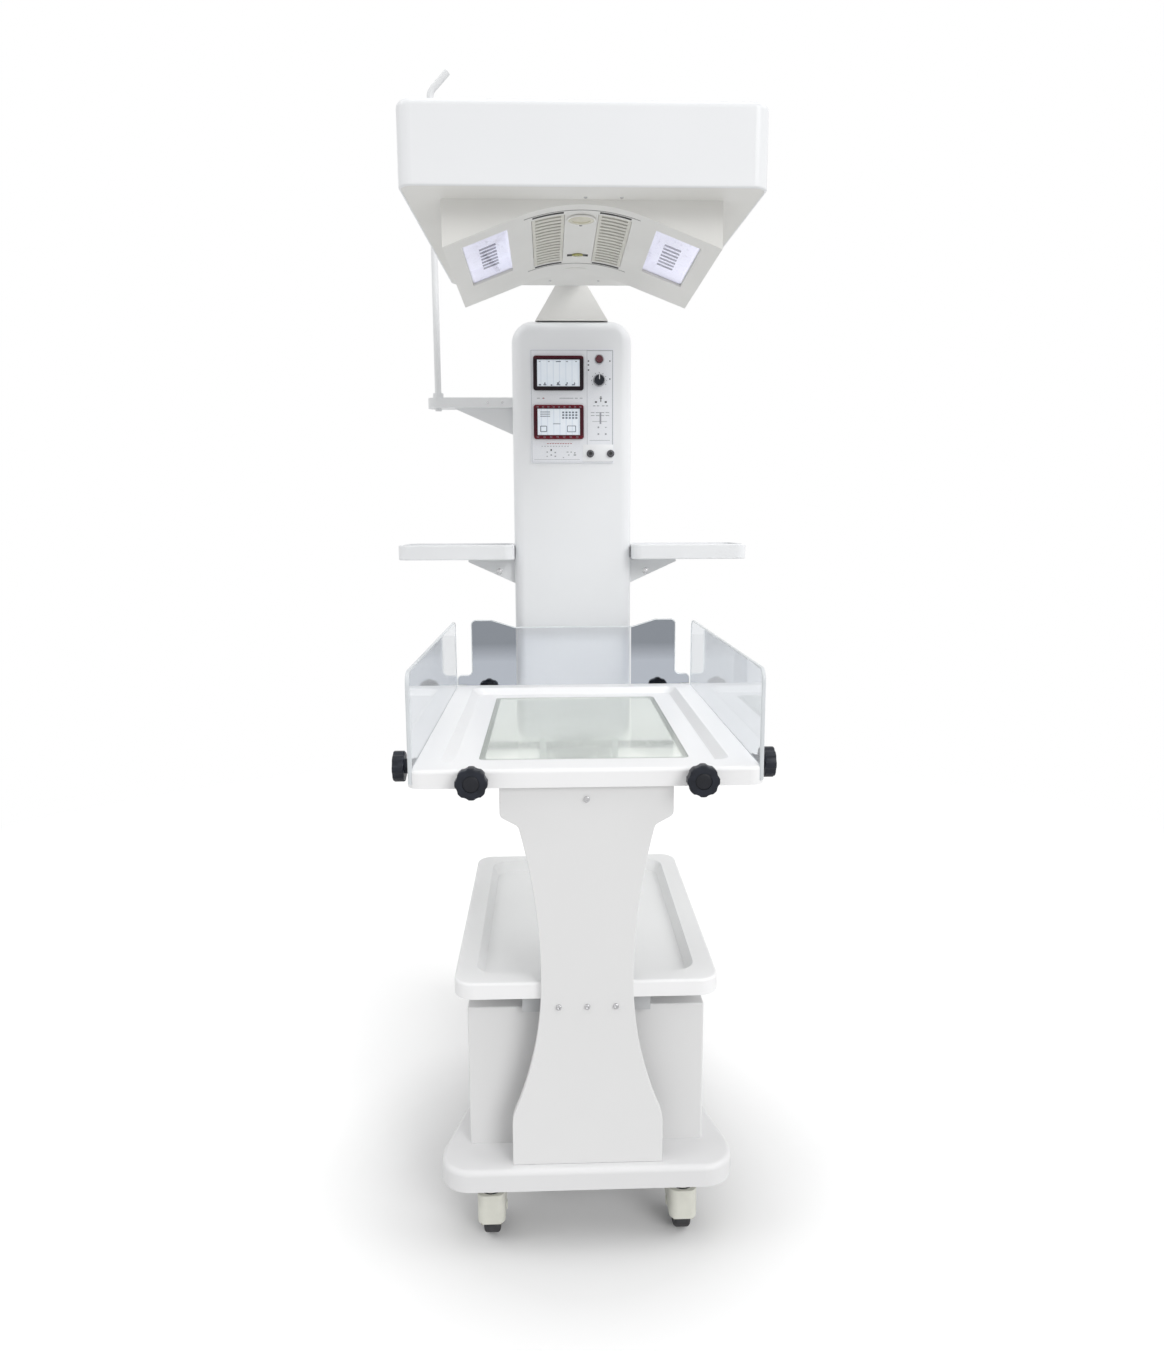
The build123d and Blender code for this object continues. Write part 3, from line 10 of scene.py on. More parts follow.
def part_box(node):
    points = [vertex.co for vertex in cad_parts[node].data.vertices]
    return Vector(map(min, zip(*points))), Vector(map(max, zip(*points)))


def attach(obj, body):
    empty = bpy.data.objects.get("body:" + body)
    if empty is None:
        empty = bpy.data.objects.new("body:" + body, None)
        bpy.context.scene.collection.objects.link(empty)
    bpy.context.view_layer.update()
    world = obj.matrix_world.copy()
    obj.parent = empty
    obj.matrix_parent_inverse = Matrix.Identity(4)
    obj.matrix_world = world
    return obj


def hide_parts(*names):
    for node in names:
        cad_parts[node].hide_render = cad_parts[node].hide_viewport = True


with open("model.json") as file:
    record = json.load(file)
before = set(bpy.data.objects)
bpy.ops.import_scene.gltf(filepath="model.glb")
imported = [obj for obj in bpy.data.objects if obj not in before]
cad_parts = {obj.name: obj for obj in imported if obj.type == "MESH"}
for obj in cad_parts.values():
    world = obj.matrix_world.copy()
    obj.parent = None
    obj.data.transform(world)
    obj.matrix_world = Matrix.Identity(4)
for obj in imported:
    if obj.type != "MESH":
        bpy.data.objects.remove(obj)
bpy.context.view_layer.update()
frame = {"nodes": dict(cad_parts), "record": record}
nodes = frame["nodes"]
mm = 0.001
print("frame loaded:", len(nodes), "nodes")


def shift(x, y, z):
    return Matrix.Translation(Vector((x, y, z)) * mm)


def turned(axis, degrees):
    return Matrix.Rotation(math.radians(degrees), 4, axis)


# The camera, where the photograph's perspective puts it, in metres and degrees
cameraView = {"place": Vector((-0.0597, -2.0206, 1.3107)), "turn": 1.957, "down": 9.273, "roll": -0.218,
              "focalPixels": 943.6, "longSidePixels": 1351, "sensor": 36.0}


def makeCamera(view):
    lens = bpy.data.cameras.new("view")
    lens.sensor_width = view["sensor"]
    lens.lens = view["sensor"] * view["focalPixels"] / view["longSidePixels"]
    camera = bpy.data.objects.new("view", lens)
    bpy.context.scene.collection.objects.link(camera)
    camera.matrix_world = (Matrix.Translation(view["place"]) @ turned("Z", -view["turn"])
                           @ turned("X", 90 - view["down"]) @ turned("Z", view["roll"]))
    bpy.context.scene.camera = camera


makeCamera(cameraView)
bpy.context.scene.view_settings.view_transform = "Standard"
print("camera placed")


# Node helpers for the finishes
def setSocket(tree, socket, value):
    if isinstance(value, bpy.types.NodeSocket):
        tree.links.new(value, socket)
    else:
        socket.default_value = value


def addNode(tree, kind, inputs=None, **settings):
    node = tree.nodes.new(kind)
    for name, value in settings.items():
        setattr(node, name, value)
    for name, value in (inputs or {}).items():
        setSocket(tree, node.inputs[name], value)
    return node


def feed(tree, shader, **values):
    for name, value in values.items():
        setSocket(tree, shader.inputs[name.replace("_", " ")], value)


def newFinish(name, **plain):
    finish = bpy.data.materials.new(name)
    finish.use_nodes = True
    tree = finish.node_tree
    shader = tree.nodes["Principled BSDF"]
    feed(tree, shader, **plain)
    return finish, tree, shader


def objectPoint(tree, stretch=(1, 1, 1)):
    place = addNode(tree, "ShaderNodeTexCoord").outputs["Object"]
    return addNode(tree, "ShaderNodeMapping", {"Vector": place, "Scale": stretch}).outputs["Vector"]


def noise(tree, point, size, detail=2.0):
    inputs = {"Vector": point, "Scale": 1 / size, "Detail": detail}
    return addNode(tree, "ShaderNodeTexNoise", inputs).outputs["Fac"]


def remap(tree, value, low, high, toLow, toHigh):
    inputs = {"Value": value, "From Min": low, "From Max": high, "To Min": toLow, "To Max": toHigh}
    return addNode(tree, "ShaderNodeMapRange", inputs).outputs["Result"]


# The part of the noise's range that each use takes, from its least to its most
noiseSpan = {"tone": (0.35, 0.65), "gloss": (0.3, 0.7), "haze": (0.35, 0.7)}


def wander(tree, point, size, detail, use, toLow=0, toHigh=1):
    return remap(tree, noise(tree, point, size, detail), *noiseSpan[use], toLow, toHigh)


def larger(tree, first, second):
    return addNode(tree, "ShaderNodeMath", {0: first, 1: second}, operation="MAXIMUM").outputs["Value"]


def blendColours(tree, share, first, second):
    mix = addNode(tree, "ShaderNodeMix", data_type="RGBA")
    tree.links.new(share, mix.inputs["Factor"])
    for socket, colour in ((mix.inputs["A"], first), (mix.inputs["B"], second)):
        plain = not isinstance(colour, bpy.types.NodeSocket)
        setSocket(tree, socket, (*colour, 1) if plain else colour)
    return mix.outputs["Result"]


def blendShaders(tree, share, first, second):
    return addNode(tree, "ShaderNodeMixShader", {"Fac": share, 1: first, 2: second}).outputs["Shader"]


def bump(tree, shader, height, strength, distance):
    inputs = {"Height": height, "Strength": strength, "Distance": distance}
    feed(tree, shader, Normal=addNode(tree, "ShaderNodeBump", inputs).outputs["Normal"])


# One painted or moulded surface: a tone that wanders a little, a gloss that does too, and a fine skin
plainPaint = {"shine": 0.5, "metal": 0.0, "coat": 0.0, "coatRoughness": 0.1, "glow": 0.0,
              "skin": (0.002, 0.1, 0.0002), "stretch": (1, 1, 1)}


def paintFinish(name, changes):
    look = {**plainPaint, **changes}
    colour, (toneSpread, toneSize) = look["colour"], look["tone"]
    finish, tree, shader = newFinish(
        name, Specular_IOR_Level=look["shine"], Metallic=look["metal"], Coat_Weight=look["coat"],
        Coat_Roughness=look["coatRoughness"], Emission_Color=(*colour, 1), Emission_Strength=look["glow"])
    point = objectPoint(tree, look["stretch"])
    worn = [channel * (1 - toneSpread) for channel in colour]
    tone = blendColours(tree, wander(tree, point, toneSize, 3, "tone"), colour, worn)
    glossSize, *roughness = look["gloss"]
    gloss = wander(tree, point, glossSize, 4, "gloss", *roughness)
    feed(tree, shader, Base_Color=tone, Roughness=gloss)
    skinSize, skinStrength, skinDepth = look["skin"]
    bump(tree, shader, noise(tree, point, skinSize), skinStrength, skinDepth)
    return finish


# A tone is how far the colour wanders and over what size, a gloss is its size and its least and most
# roughness, and a skin is its bump's size, strength and depth
moulded = {"tone": (0.02, 0.35), "gloss": (0.2, 0.34, 0.42), "skin": (0.003, 0.08, 0.0003)}
sheetSteel = {"tone": (0.02, 0.3), "gloss": (0.15, 0.40, 0.48), "skin": (0.0014, 0.16, 0.0003)}
ink = {"tone": (0.15, 0.004), "gloss": (0.004, 0.4, 0.5), "skin": (0.001, 0.05, 0.0001)}
paintLooks = {
    "white_moulding": {**moulded, "colour": (0.83, 0.84, 0.855), "gloss": (0.2, 0.30, 0.38)},
    # painted shade: the base's white is a darker copy of the white moulding
    "shaded_base_moulding": {**moulded, "colour": (0.73, 0.73, 0.735)},
    # painted light: the bed's and the tray's white is a lighter copy of the white moulding, lifting them out
    # of the shade they sit in
    "lit_tray_moulding": {**moulded, "colour": (0.865, 0.865, 0.87)},
    "white_steel": {**sheetSteel, "colour": (0.78, 0.79, 0.80)},
    # painted shade: the pedestal's and the box's steel is a darker copy of the white steel, for the shade
    # under the bed
    "shaded_lower_steel": {**sheetSteel, "colour": (0.745, 0.745, 0.745)},
    "grey_steel": {"colour": (0.55, 0.56, 0.57), "tone": (0.05, 0.15), "gloss": (0.04, 0.40, 0.55),
        "skin": (0.0014, 0.18, 0.0003)},
    "bright_steel": {"colour": (0.62, 0.62, 0.63), "tone": (0.10, 0.02), "gloss": (0.01, 0.16, 0.32),
        "skin": (0.0006, 0.10, 0.0001), "metal": 1.0},
    "dark_steel": {"colour": (0.13, 0.13, 0.14), "tone": (0.15, 0.01), "gloss": (0.008, 0.22, 0.36),
        "skin": (0.0008, 0.1, 0.0001), "metal": 1.0},
    "caster_ivory": {"colour": (0.70, 0.70, 0.63), "tone": (0.08, 0.03), "gloss": (0.02, 0.34, 0.48),
        "skin": (0.0016, 0.14, 0.0003)},
    "tyre_black": {"colour": (0.022, 0.022, 0.024), "tone": (-0.9, 0.02), "gloss": (0.01, 0.55, 0.80),
        "skin": (0.0012, 0.35, 0.0004)},
    "knob_black": {"colour": (0.009, 0.011, 0.017), "tone": (-0.5, 0.012), "gloss": (0.01, 0.32, 0.46),
        "skin": (0.0008, 0.16, 0.0002), "shine": 0.3},
    "knob_cap": {"colour": (0.010, 0.011, 0.015), "tone": (-0.3, 0.01), "gloss": (0.008, 0.30, 0.42),
        "skin": (0.0012, 0.12, 0.0002), "shine": 0.3},
    "button_red": {"colour": (0.095, 0.008, 0.02), "tone": (0.15, 0.006), "gloss": (0.006, 0.18, 0.30),
        "skin": (0.001, 0.06, 0.0002), "coat": 0.4},
    "ring_grey": {"colour": (0.58, 0.59, 0.62), "tone": (0.06, 0.01), "gloss": (0.006, 0.30, 0.44),
        "skin": (0.0012, 0.10, 0.0002)},
    "grille_cream": {"colour": (0.66, 0.65, 0.59), "tone": (0.06, 0.05), "gloss": (0.03, 0.40, 0.55),
        "skin": (0.0012, 0.14, 0.0003)},
    # painted shade: a darker, warm copy of the white for the hood's arch, pan and neck bracket and the
    # fittings on the pan, which lie in shade
    "shaded_warm_white": {"colour": (0.76, 0.755, 0.73), "tone": (0.035, 0.2), "gloss": (0.06, 0.36, 0.48),
        "skin": (0.0016, 0.14, 0.0003)},
    "reflector_bright": {"colour": (0.20, 0.19, 0.17), "tone": (0.12, 0.03), "gloss": (0.02, 0.18, 0.34),
        "skin": (0.003, 0.12, 0.0003), "metal": 1.0, "stretch": (1, 0.1, 1)},
    "rod_dark": {"colour": (0.12, 0.11, 0.10), "tone": (0.3, 0.02), "gloss": (0.01, 0.45, 0.65),
        "skin": (0.001, 0.2, 0.0003), "metal": 0.6},
    "lamp_glass": {"colour": (0.72, 0.69, 0.55), "tone": (0.12, 0.01), "gloss": (0.01, 0.12, 0.22),
        "coat": 0.5},
    "lens_amber": {"colour": (0.36, 0.35, 0.09), "tone": (0.2, 0.006), "gloss": (0.006, 0.12, 0.22),
        "skin": (0.002, 0.08, 0.0002), "coat": 0.5},
    # painted light: the lamp trays' white glows a little, though the trays are no lamp
    "lamp_white_painted_glow": {"colour": (0.79, 0.79, 0.84), "tone": (0.04, 0.02), "gloss": (0.01, 0.25, 0.40),
        "skin": (0.002, 0.08, 0.0002), "glow": 0.42},
    "fin_grey": {"colour": (0.42, 0.42, 0.47), "tone": (0.15, 0.01), "gloss": (0.01, 0.3, 0.5),
        "skin": (0.002, 0.08, 0.0002)},
    # painted highlight: the pale band on the clear walls' polished edges
    "wall_edge_highlight": {"colour": (0.66, 0.69, 0.71), "tone": (0.06, 0.05), "gloss": (0.03, 0.18, 0.30),
        "skin": (0.002, 0.06, 0.0002)},
    # painted shade: the dark in slots, holes and gaps, where only shade falls
    "painted_gap_shade": {"colour": (0.05, 0.05, 0.05), "tone": (0.3, 0.02), "gloss": (0.02, 0.6, 0.8)},
    "seam_grey": {"colour": (0.33, 0.33, 0.33), "tone": (0.2, 0.05), "gloss": (0.02, 0.5, 0.7)},
    "ink_dark": {**ink, "colour": (0.06, 0.06, 0.07), "tone": (0.2, 0.004)},
    "ink_grey": {**ink, "colour": (0.34, 0.35, 0.38)},
    "ink_red": {**ink, "colour": (0.40, 0.05, 0.06)},
    "screen_ink": {**ink, "colour": (0.16, 0.19, 0.24), "tone": (0.2, 0.004), "gloss": (0.004, 0.25, 0.40)},
}
finishes = {name: paintFinish(name, look) for name, look in paintLooks.items()}


# The back wall's ends are smoked, and more so towards their top
def smokeEnds(tree, point, tint, smoke):
    axes = addNode(tree, "ShaderNodeSeparateXYZ", {"Vector": point}).outputs
    height = remap(tree, axes["Z"], smoke["foot"], smoke["top"], 0, 1)
    smoked = blendColours(tree, height, smoke["light"], smoke["dark"])
    aside = addNode(tree, "ShaderNodeMath", {0: axes["X"]}, operation="ABSOLUTE").outputs["Value"]
    outer = remap(tree, aside, smoke["clearHalf"], smoke["clearHalf"] + smoke["fade"], 0, 1)
    return blendColours(tree, outer, tint, smoked)


# Clear plastics let lamps through, so that what stands behind them isn't left dark
def clearFinish(name, look):
    finish, tree, shader = newFinish(name, IOR=look["ior"], Transmission_Weight=look["clear"])
    point = objectPoint(tree)
    hazeSize, *roughness = look["haze"]
    haze = wander(tree, point, hazeSize, 4, "haze", *roughness)
    tint = blendColours(tree, noise(tree, point, look["tintSize"]), look["tint"], look["tintDeep"])
    if "smoke" in look:
        tint = smokeEnds(tree, point, tint, look["smoke"])
    feed(tree, shader, Base_Color=tint, Roughness=haze)
    waveSize, waveStrength, waveDepth = look["wave"]
    bump(tree, shader, noise(tree, point, waveSize, 1), waveStrength, waveDepth)
    shadow = addNode(tree, "ShaderNodeLightPath").outputs["Is Shadow Ray"]
    through = addNode(tree, "ShaderNodeBsdfTransparent", {"Color": (*look["shadowTint"], 1)})
    surface = blendShaders(tree, shadow, shader.outputs["BSDF"], through.outputs["BSDF"])
    tree.links.new(surface, tree.nodes["Material Output"].inputs["Surface"])
    return finish


clearLooks = {
    "clear_acrylic": {"ior": 1.16, "clear": 1.0, "haze": (0.05, 0.01, 0.04), "tintSize": 0.3,
        "tint": (0.80, 0.82, 0.85), "tintDeep": (0.74, 0.77, 0.80), "wave": (0.25, 0.05, 0.0005),
        "shadowTint": (0.90, 0.91, 0.92)},
    "smoky_acrylic": {"ior": 1.16, "clear": 1.0, "haze": (0.05, 0.02, 0.06), "tintSize": 0.2,
        "tint": (0.86, 0.87, 0.88), "tintDeep": (0.82, 0.83, 0.85), "wave": (0.2, 0.05, 0.0005),
        "shadowTint": (0.88, 0.89, 0.90), "smoke": {"light": (0.45, 0.48, 0.53), "dark": (0.25, 0.27, 0.30),
        "foot": 0.965, "top": 1.01, "clearHalf": 0.1425, "fade": 0.002}},
    "window_acrylic": {"ior": 1.14, "clear": 0.80, "haze": (0.12, 0.07, 0.11), "tintSize": 0.2,
        "tint": (0.87, 0.90, 0.86), "tintDeep": (0.82, 0.85, 0.82), "wave": (0.5, 0.01, 0.0005),
        "shadowTint": (0.92, 0.93, 0.92)},
    "lamp_pane": {"ior": 1.15, "clear": 1.0, "haze": (0.02, 0.03, 0.08), "tintSize": 0.05,
        "tint": (0.94, 0.94, 0.98), "tintDeep": (0.91, 0.91, 0.97), "wave": (0.1, 0.02, 0.0005),
        "shadowTint": (0.95, 0.95, 0.98)},
}
finishes.update({name: clearFinish(name, look) for name, look in clearLooks.items()})


# The membrane print, the bezels, the screens, the board and the iron core have patterns of their own
def panelFinish(look):
    finish, tree, shader = newFinish("panel_print", Roughness=look["roughness"])
    point = objectPoint(tree)
    inputs = {"Vector": point, "Scale": 1 / look["dotPitch"]}
    dots = addNode(tree, "ShaderNodeTexVoronoi", inputs).outputs["Distance"]
    share = remap(tree, dots, *look["dotEdge"], 0, 1)
    feed(tree, shader, Base_Color=blendColours(tree, share, look["dot"], look["colour"]))
    bump(tree, shader, noise(tree, point, look["grain"]), *look["relief"])
    return finish


def bezelFinish(level, look):
    finish, tree, shader = newFinish(level + "_bezel", Specular_IOR_Level=look["shine"])
    point = objectPoint(tree)
    height = addNode(tree, "ShaderNodeSeparateXYZ", {"Vector": point}).outputs["Z"]
    low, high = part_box(level + "_display")
    top, foot, band = high.z, low.z, look["band"]
    upper = remap(tree, height, top - band, top - band / 2, 0, 1)
    lower = remap(tree, height, foot + band / 2, foot + band, look["footShare"], 0)
    streak = wander(tree, point, look["streak"], 3, "gloss", 0, look["streakShare"])
    deep = blendColours(tree, streak, look["side"], look["bandColour"])
    tone = blendColours(tree, larger(tree, upper, lower), deep, look["bandColour"])
    gloss = wander(tree, point, look["streak"], 2, "gloss", *look["roughness"])
    feed(tree, shader, Base_Color=tone, Roughness=gloss)
    return finish


def screenFinish(look):
    finish, tree, shader = newFinish(
        "screen", Emission_Color=(*look["colour"], 1), Emission_Strength=look["glow"])
    point = objectPoint(tree)
    inputs = {"Vector": point, "Scale": 1 / look["pitch"]}
    columns = addNode(tree, "ShaderNodeTexWave", inputs, bands_direction="X").outputs["Fac"]
    lines = remap(tree, columns, 0, look["lineShare"], 1, 0)
    cloud = wander(tree, point, look["cloud"], 2, "tone")
    ground = blendColours(tree, cloud, look["colour"], look["deep"])
    tone = blendColours(tree, lines, ground, look["line"])
    feed(tree, shader, Base_Color=tone, Roughness=remap(tree, cloud, 0, 1, *look["roughness"]))
    return finish


def boardFinish(look):
    finish, tree, shader = newFinish("board_green", Roughness=look["roughness"])
    inputs = {"Vector": objectPoint(tree), "Scale": 1 / look["pitch"]}
    cells = addNode(tree, "ShaderNodeTexVoronoi", inputs, distance="MANHATTAN").outputs["Distance"]
    share = remap(tree, cells, *look["trackEdge"], 0, 1)
    feed(tree, shader, Base_Color=blendColours(tree, share, look["colour"], look["track"]))
    bump(tree, shader, share, *look["relief"])
    return finish


def coreFinish(look):
    finish, tree, shader = newFinish("core_iron", Metallic=look["metal"])
    inputs = {"Vector": objectPoint(tree), "Scale": 1 / look["sheet"], "Distortion": look["waver"]}
    sheets = addNode(tree, "ShaderNodeTexWave", inputs, bands_direction="Y").outputs["Fac"]
    tone = blendColours(tree, sheets, look["colour"], look["edge"])
    feed(tree, shader, Base_Color=tone, Roughness=remap(tree, sheets, 0, 1, *look["roughness"]))
    bump(tree, shader, sheets, *look["relief"])
    return finish


finishes["panel_print"] = panelFinish({
    "roughness": 0.34, "dotPitch": 3 * mm, "dotEdge": (0.2, 0.5), "dot": (0.77, 0.785, 0.83),
    "colour": (0.80, 0.815, 0.85), "grain": 1.2 * mm, "relief": (0.08, 0.0002)})
darkBezel = {"band": 9 * mm, "shine": 0.22, "streak": 20 * mm, "roughness": (0.30, 0.42)}
bezels = {
    "upper": {**darkBezel, "side": (0.008, 0.004, 0.008), "bandColour": (0.060, 0.004, 0.012),
              "footShare": 0.0, "streakShare": 0.1},
    "lower": {**darkBezel, "side": (0.040, 0.003, 0.010), "bandColour": (0.125, 0.004, 0.014),
              "footShare": 1.0, "streakShare": 0.4},
}
for level, look in bezels.items():
    finishes[level + "_bezel"] = bezelFinish(level, look)
finishes["screen"] = screenFinish({
    "glow": 0.14, "pitch": 48 * mm, "lineShare": 0.12, "cloud": 40 * mm, "roughness": (0.16, 0.26),
    "colour": (0.72, 0.78, 0.85), "deep": (0.78, 0.82, 0.87), "line": (0.64, 0.70, 0.78)})
finishes["board_green"] = boardFinish({
    "roughness": 0.45, "pitch": 7 * mm, "trackEdge": (0.45, 0.5), "colour": (0.02, 0.11, 0.05),
    "track": (0.05, 0.20, 0.10), "relief": (0.2, 0.0002)})
finishes["core_iron"] = coreFinish({
    "metal": 0.7, "sheet": 3 * mm, "waver": 0.4, "roughness": (0.45, 0.7), "colour": (0.10, 0.10, 0.11),
    "edge": (0.22, 0.21, 0.20), "relief": (0.3, 0.0003)})

# Which finish each imported node shows, where it isn't simply its slot's; the shaded and lit whites here are
# darker and lighter copies of one white, painted shade and painted light
ownFinish = {
    "heater_arch": "shaded_warm_white", "hood_pan": "shaded_warm_white", "neck_bracket": "shaded_warm_white",
    "wall_back": "smoky_acrylic", "base_cover": "shaded_base_moulding", "pedestal_panel": "shaded_lower_steel",
    "equipment_box": "shaded_lower_steel", "bed_frame": "lit_tray_moulding", "lower_tray": "lit_tray_moulding",
    "upper_display": "upper_bezel", "lower_display": "lower_bezel", "light_windows": "lamp_pane",
    "probe_sockets": "dark_steel",
}
for part in frame["record"]["subparts"]:
    name = part["node"]
    finish = finishes[ownFinish.get(name, part["material_slot"])]
    nodes[name].data.materials.clear()
    nodes[name].data.materials.append(finish)
print("finishes made:", len(finishes))


# Modelling helpers, each one a step that would be done by hand, with sizes in millimetres
def select(*pieces):
    bpy.ops.object.select_all(action="DESELECT")
    for piece in pieces:
        piece.select_set(True)
    bpy.context.view_layer.objects.active = pieces[0]


@contextmanager
def editing(piece, kind="FACE"):
    select(piece)
    bpy.ops.object.mode_set(mode="EDIT")
    bpy.ops.mesh.select_mode(type=kind)
    yield
    bpy.ops.object.mode_set(mode="OBJECT")


def pick(piece, parts, test):
    shape = bmesh.from_edit_mesh(piece.data)
    bpy.ops.mesh.select_all(action="DESELECT")
    for part in getattr(shape, parts):
        if test(part):
            part.select_set(True)
    bmesh.update_edit_mesh(piece.data)


def pickFaces(piece, test):
    pick(piece, "faces", lambda face: test(face.calc_center_median(), face.normal))


def pickEdges(piece, test):
    def fits(edge):
        first, second = (corner.co for corner in edge.verts)
        return test((first + second) / 2, (second - first).normalized())

    pick(piece, "edges", fits)


aligned = 0.9  # how much of its direction a face or an edge has along an axis that it is picked by


def facing(axis, way):
    return lambda centre, normal: normal[axis] * way > aligned


def across(axis):
    return lambda centre, normal: abs(normal[axis]) > aligned


def along(axis):
    return lambda middle, line: abs(line[axis]) > aligned


def addBlock(name, low, high):
    bpy.ops.object.select_all(action="DESELECT")
    low, high = Vector(low) * mm, Vector(high) * mm
    bpy.ops.mesh.primitive_cube_add(size=1, location=(low + high) / 2)
    piece = bpy.context.object
    piece.name = name
    piece.scale = high - low
    bpy.ops.object.transform_apply()
    return piece


axisTurns = {"X": (0, math.pi / 2, 0), "Y": (math.pi / 2, 0, 0), "Z": (0, 0, 0)}


def addRound(name, centre, radius, depth, axis="Z", sides=40):
    bpy.ops.object.select_all(action="DESELECT")
    bpy.ops.mesh.primitive_cylinder_add(
        vertices=sides, radius=radius * mm, depth=depth * mm, location=Vector(centre) * mm,
        rotation=axisTurns[axis])
    piece = bpy.context.object
    piece.name = name
    bpy.ops.object.transform_apply()
    return piece


def addPost(name, foot, top, radius, sides):
    return addRound(name, (0, 0, (foot + top) / 2), radius, top - foot, sides=sides)


def roundEdges(piece, test, width, segments=3):
    with editing(piece, "EDGE"):
        pickEdges(piece, test)
        bpy.ops.mesh.bevel(offset=width * mm, segments=segments, affect="EDGES")


def applyModifier(piece, kind, **settings):
    modifier = piece.modifiers.new(kind, kind)
    for name, value in settings.items():
        setattr(modifier, name, value)
    select(piece)
    bpy.ops.object.modifier_apply(modifier=modifier.name)


def softenEdges(piece, width, segments=2, sharpness=40):
    applyModifier(piece, "BEVEL", width=width * mm, segments=segments, limit_method="ANGLE",
                  angle_limit=math.radians(sharpness))


def sinkFace(piece, test, border, depth):
    with editing(piece):
        pickFaces(piece, test)
        bpy.ops.mesh.inset(thickness=border * mm, depth=0)
        bpy.ops.mesh.extrude_region_move()
        bpy.ops.transform.shrink_fatten(value=-depth * mm)


def openMiddle(piece, test, border):
    with editing(piece):
        pickFaces(piece, test)
        bpy.ops.mesh.inset(thickness=border * mm, depth=0, use_individual=True)
        bpy.ops.mesh.bridge_edge_loops()


def drop(*pieces):
    for piece in pieces:
        bpy.data.objects.remove(piece, do_unlink=True)


def carve(piece, cutter, operation="DIFFERENCE"):
    applyModifier(piece, "BOOLEAN", object=cutter, operation=operation, solver="EXACT")
    drop(cutter)


def copyOf(master, name, matrix):
    piece = master.copy()
    piece.data = master.data.copy()
    piece.name = name
    piece.data.transform(matrix)
    bpy.context.scene.collection.objects.link(piece)
    return piece


def ringPlaces(count, radius, start=0.0):
    angles = [math.tau * (step + start) / count for step in range(count)]
    return [(radius * math.cos(angle), radius * math.sin(angle)) for angle in angles]


def joinPieces(name, pieces):
    select(*pieces)
    if len(pieces) > 1:
        bpy.ops.object.join()
    piece = bpy.context.view_layer.objects.active
    piece.name = name
    return piece


def finishPiece(piece, body, slot, finish=None, smooth=35):
    with editing(piece):
        bpy.ops.mesh.select_all(action="SELECT")
        bpy.ops.mesh.remove_doubles(threshold=0.001 * mm)
        bpy.ops.mesh.normals_make_consistent(inside=False)
    bpy.ops.object.transform_apply()
    bpy.ops.object.shade_smooth_by_angle(angle=math.radians(smooth))
    piece.data.materials.clear()
    piece.data.materials.append(finishes[finish or slot])
    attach(piece, body)


lookFront, lookBack = turned("X", 90), turned("X", -90)
lookRight, lookLeft, lookDown = turned("Y", 90), turned("Y", -90), turned("X", 180)


# A screw head, modelled once: a domed head with a cross or a six-sided recess
screwHead = {"radius": 5.0, "height": 4.0, "round": 1.1, "recess": 2.6, "recessDepth": 2.0, "slot": 0.9}


def makeScrew(name, kind, size=1.0):
    look = {key: value * size for key, value in screwHead.items()}
    head = addPost(name, 0, look["height"], look["radius"], 36)
    rimFrom = look["height"] * mm * 0.9
    roundEdges(head, lambda middle, line: middle.z > rimFrom, look["round"])
    floor, roof = look["height"] - look["recessDepth"], look["height"] + 1  # the cutters reach past the top
    if kind == "cross":
        for length, width in ((look["recess"], look["slot"] / 2), (look["slot"] / 2, look["recess"])):
            carve(head, addBlock("cutter", (-length, -width, floor), (length, width, roof)))
    else:
        carve(head, addPost("cutter", floor, roof, look["recess"], 6))
    return head


crossScrew = makeScrew("crossScrew", "cross")
socketScrew = makeScrew("socketScrew", "socket")
smallScrew = makeScrew("smallScrew", "cross", 0.6)


# The panel screws stand out of the pedestal's front
panelScrews = {"front": -489, "shaft": 2.5, "reach": 9, "overlap": 1,
               "places": ((-50, 475), (0, 475), (50, 475), (0, 850))}
shaft = addPost("shaft", -panelScrews["reach"], panelScrews["overlap"], panelScrews["shaft"], 24)
pedestalScrew = joinPieces("pedestalScrew", [copyOf(socketScrew, "head", Matrix.Identity(4)), shaft])
screws = [copyOf(pedestalScrew, "screw", shift(x, panelScrews["front"], z) @ lookFront)
          for x, z in panelScrews["places"]]
screws = joinPieces("pedestalScrews", screws)
finishPiece(screws, "root", "bright_steel")
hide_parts("panel_screws")
drop(pedestalScrew)

# Screws that hold the covers, let into them so that only the tops of their heads show
coverScrews = {
    "towerScrews": ("root", crossScrew, lookBack,
                    [(x, 489, z) for x in (-128, 128) for z in (800, 1110, 1420, 1700)]),
    "boxScrews": ("root", smallScrew, lookBack, [(x, 56, z) for x in (-203, 0, 203) for z in (184, 431)]),
    "panScrews": ("hood", smallScrew, lookDown,
                  [(4, -410, 1822), (62, -410, 1822), (-150, 80, 1822), (150, 80, 1822), (-52, 120, 1822),
                   (52, 120, 1822)]),
    "inletScrews": ("root", smallScrew, lookBack, [(x, 492, 815) for x in (-22.5, 22.5)]),
    "armScrews": ("root", smallScrew, lookFront, [(x, 399, 1602) for x in (-172, -208)]),
}
letIn = Matrix.Diagonal((1, 1, 0.45, 1))
for name, (body, master, turn, places) in coverScrews.items():
    heads = [copyOf(master, "head", shift(*place) @ turn @ letIn) for place in places]
    finishPiece(joinPieces(name, heads), body, "bright_steel")

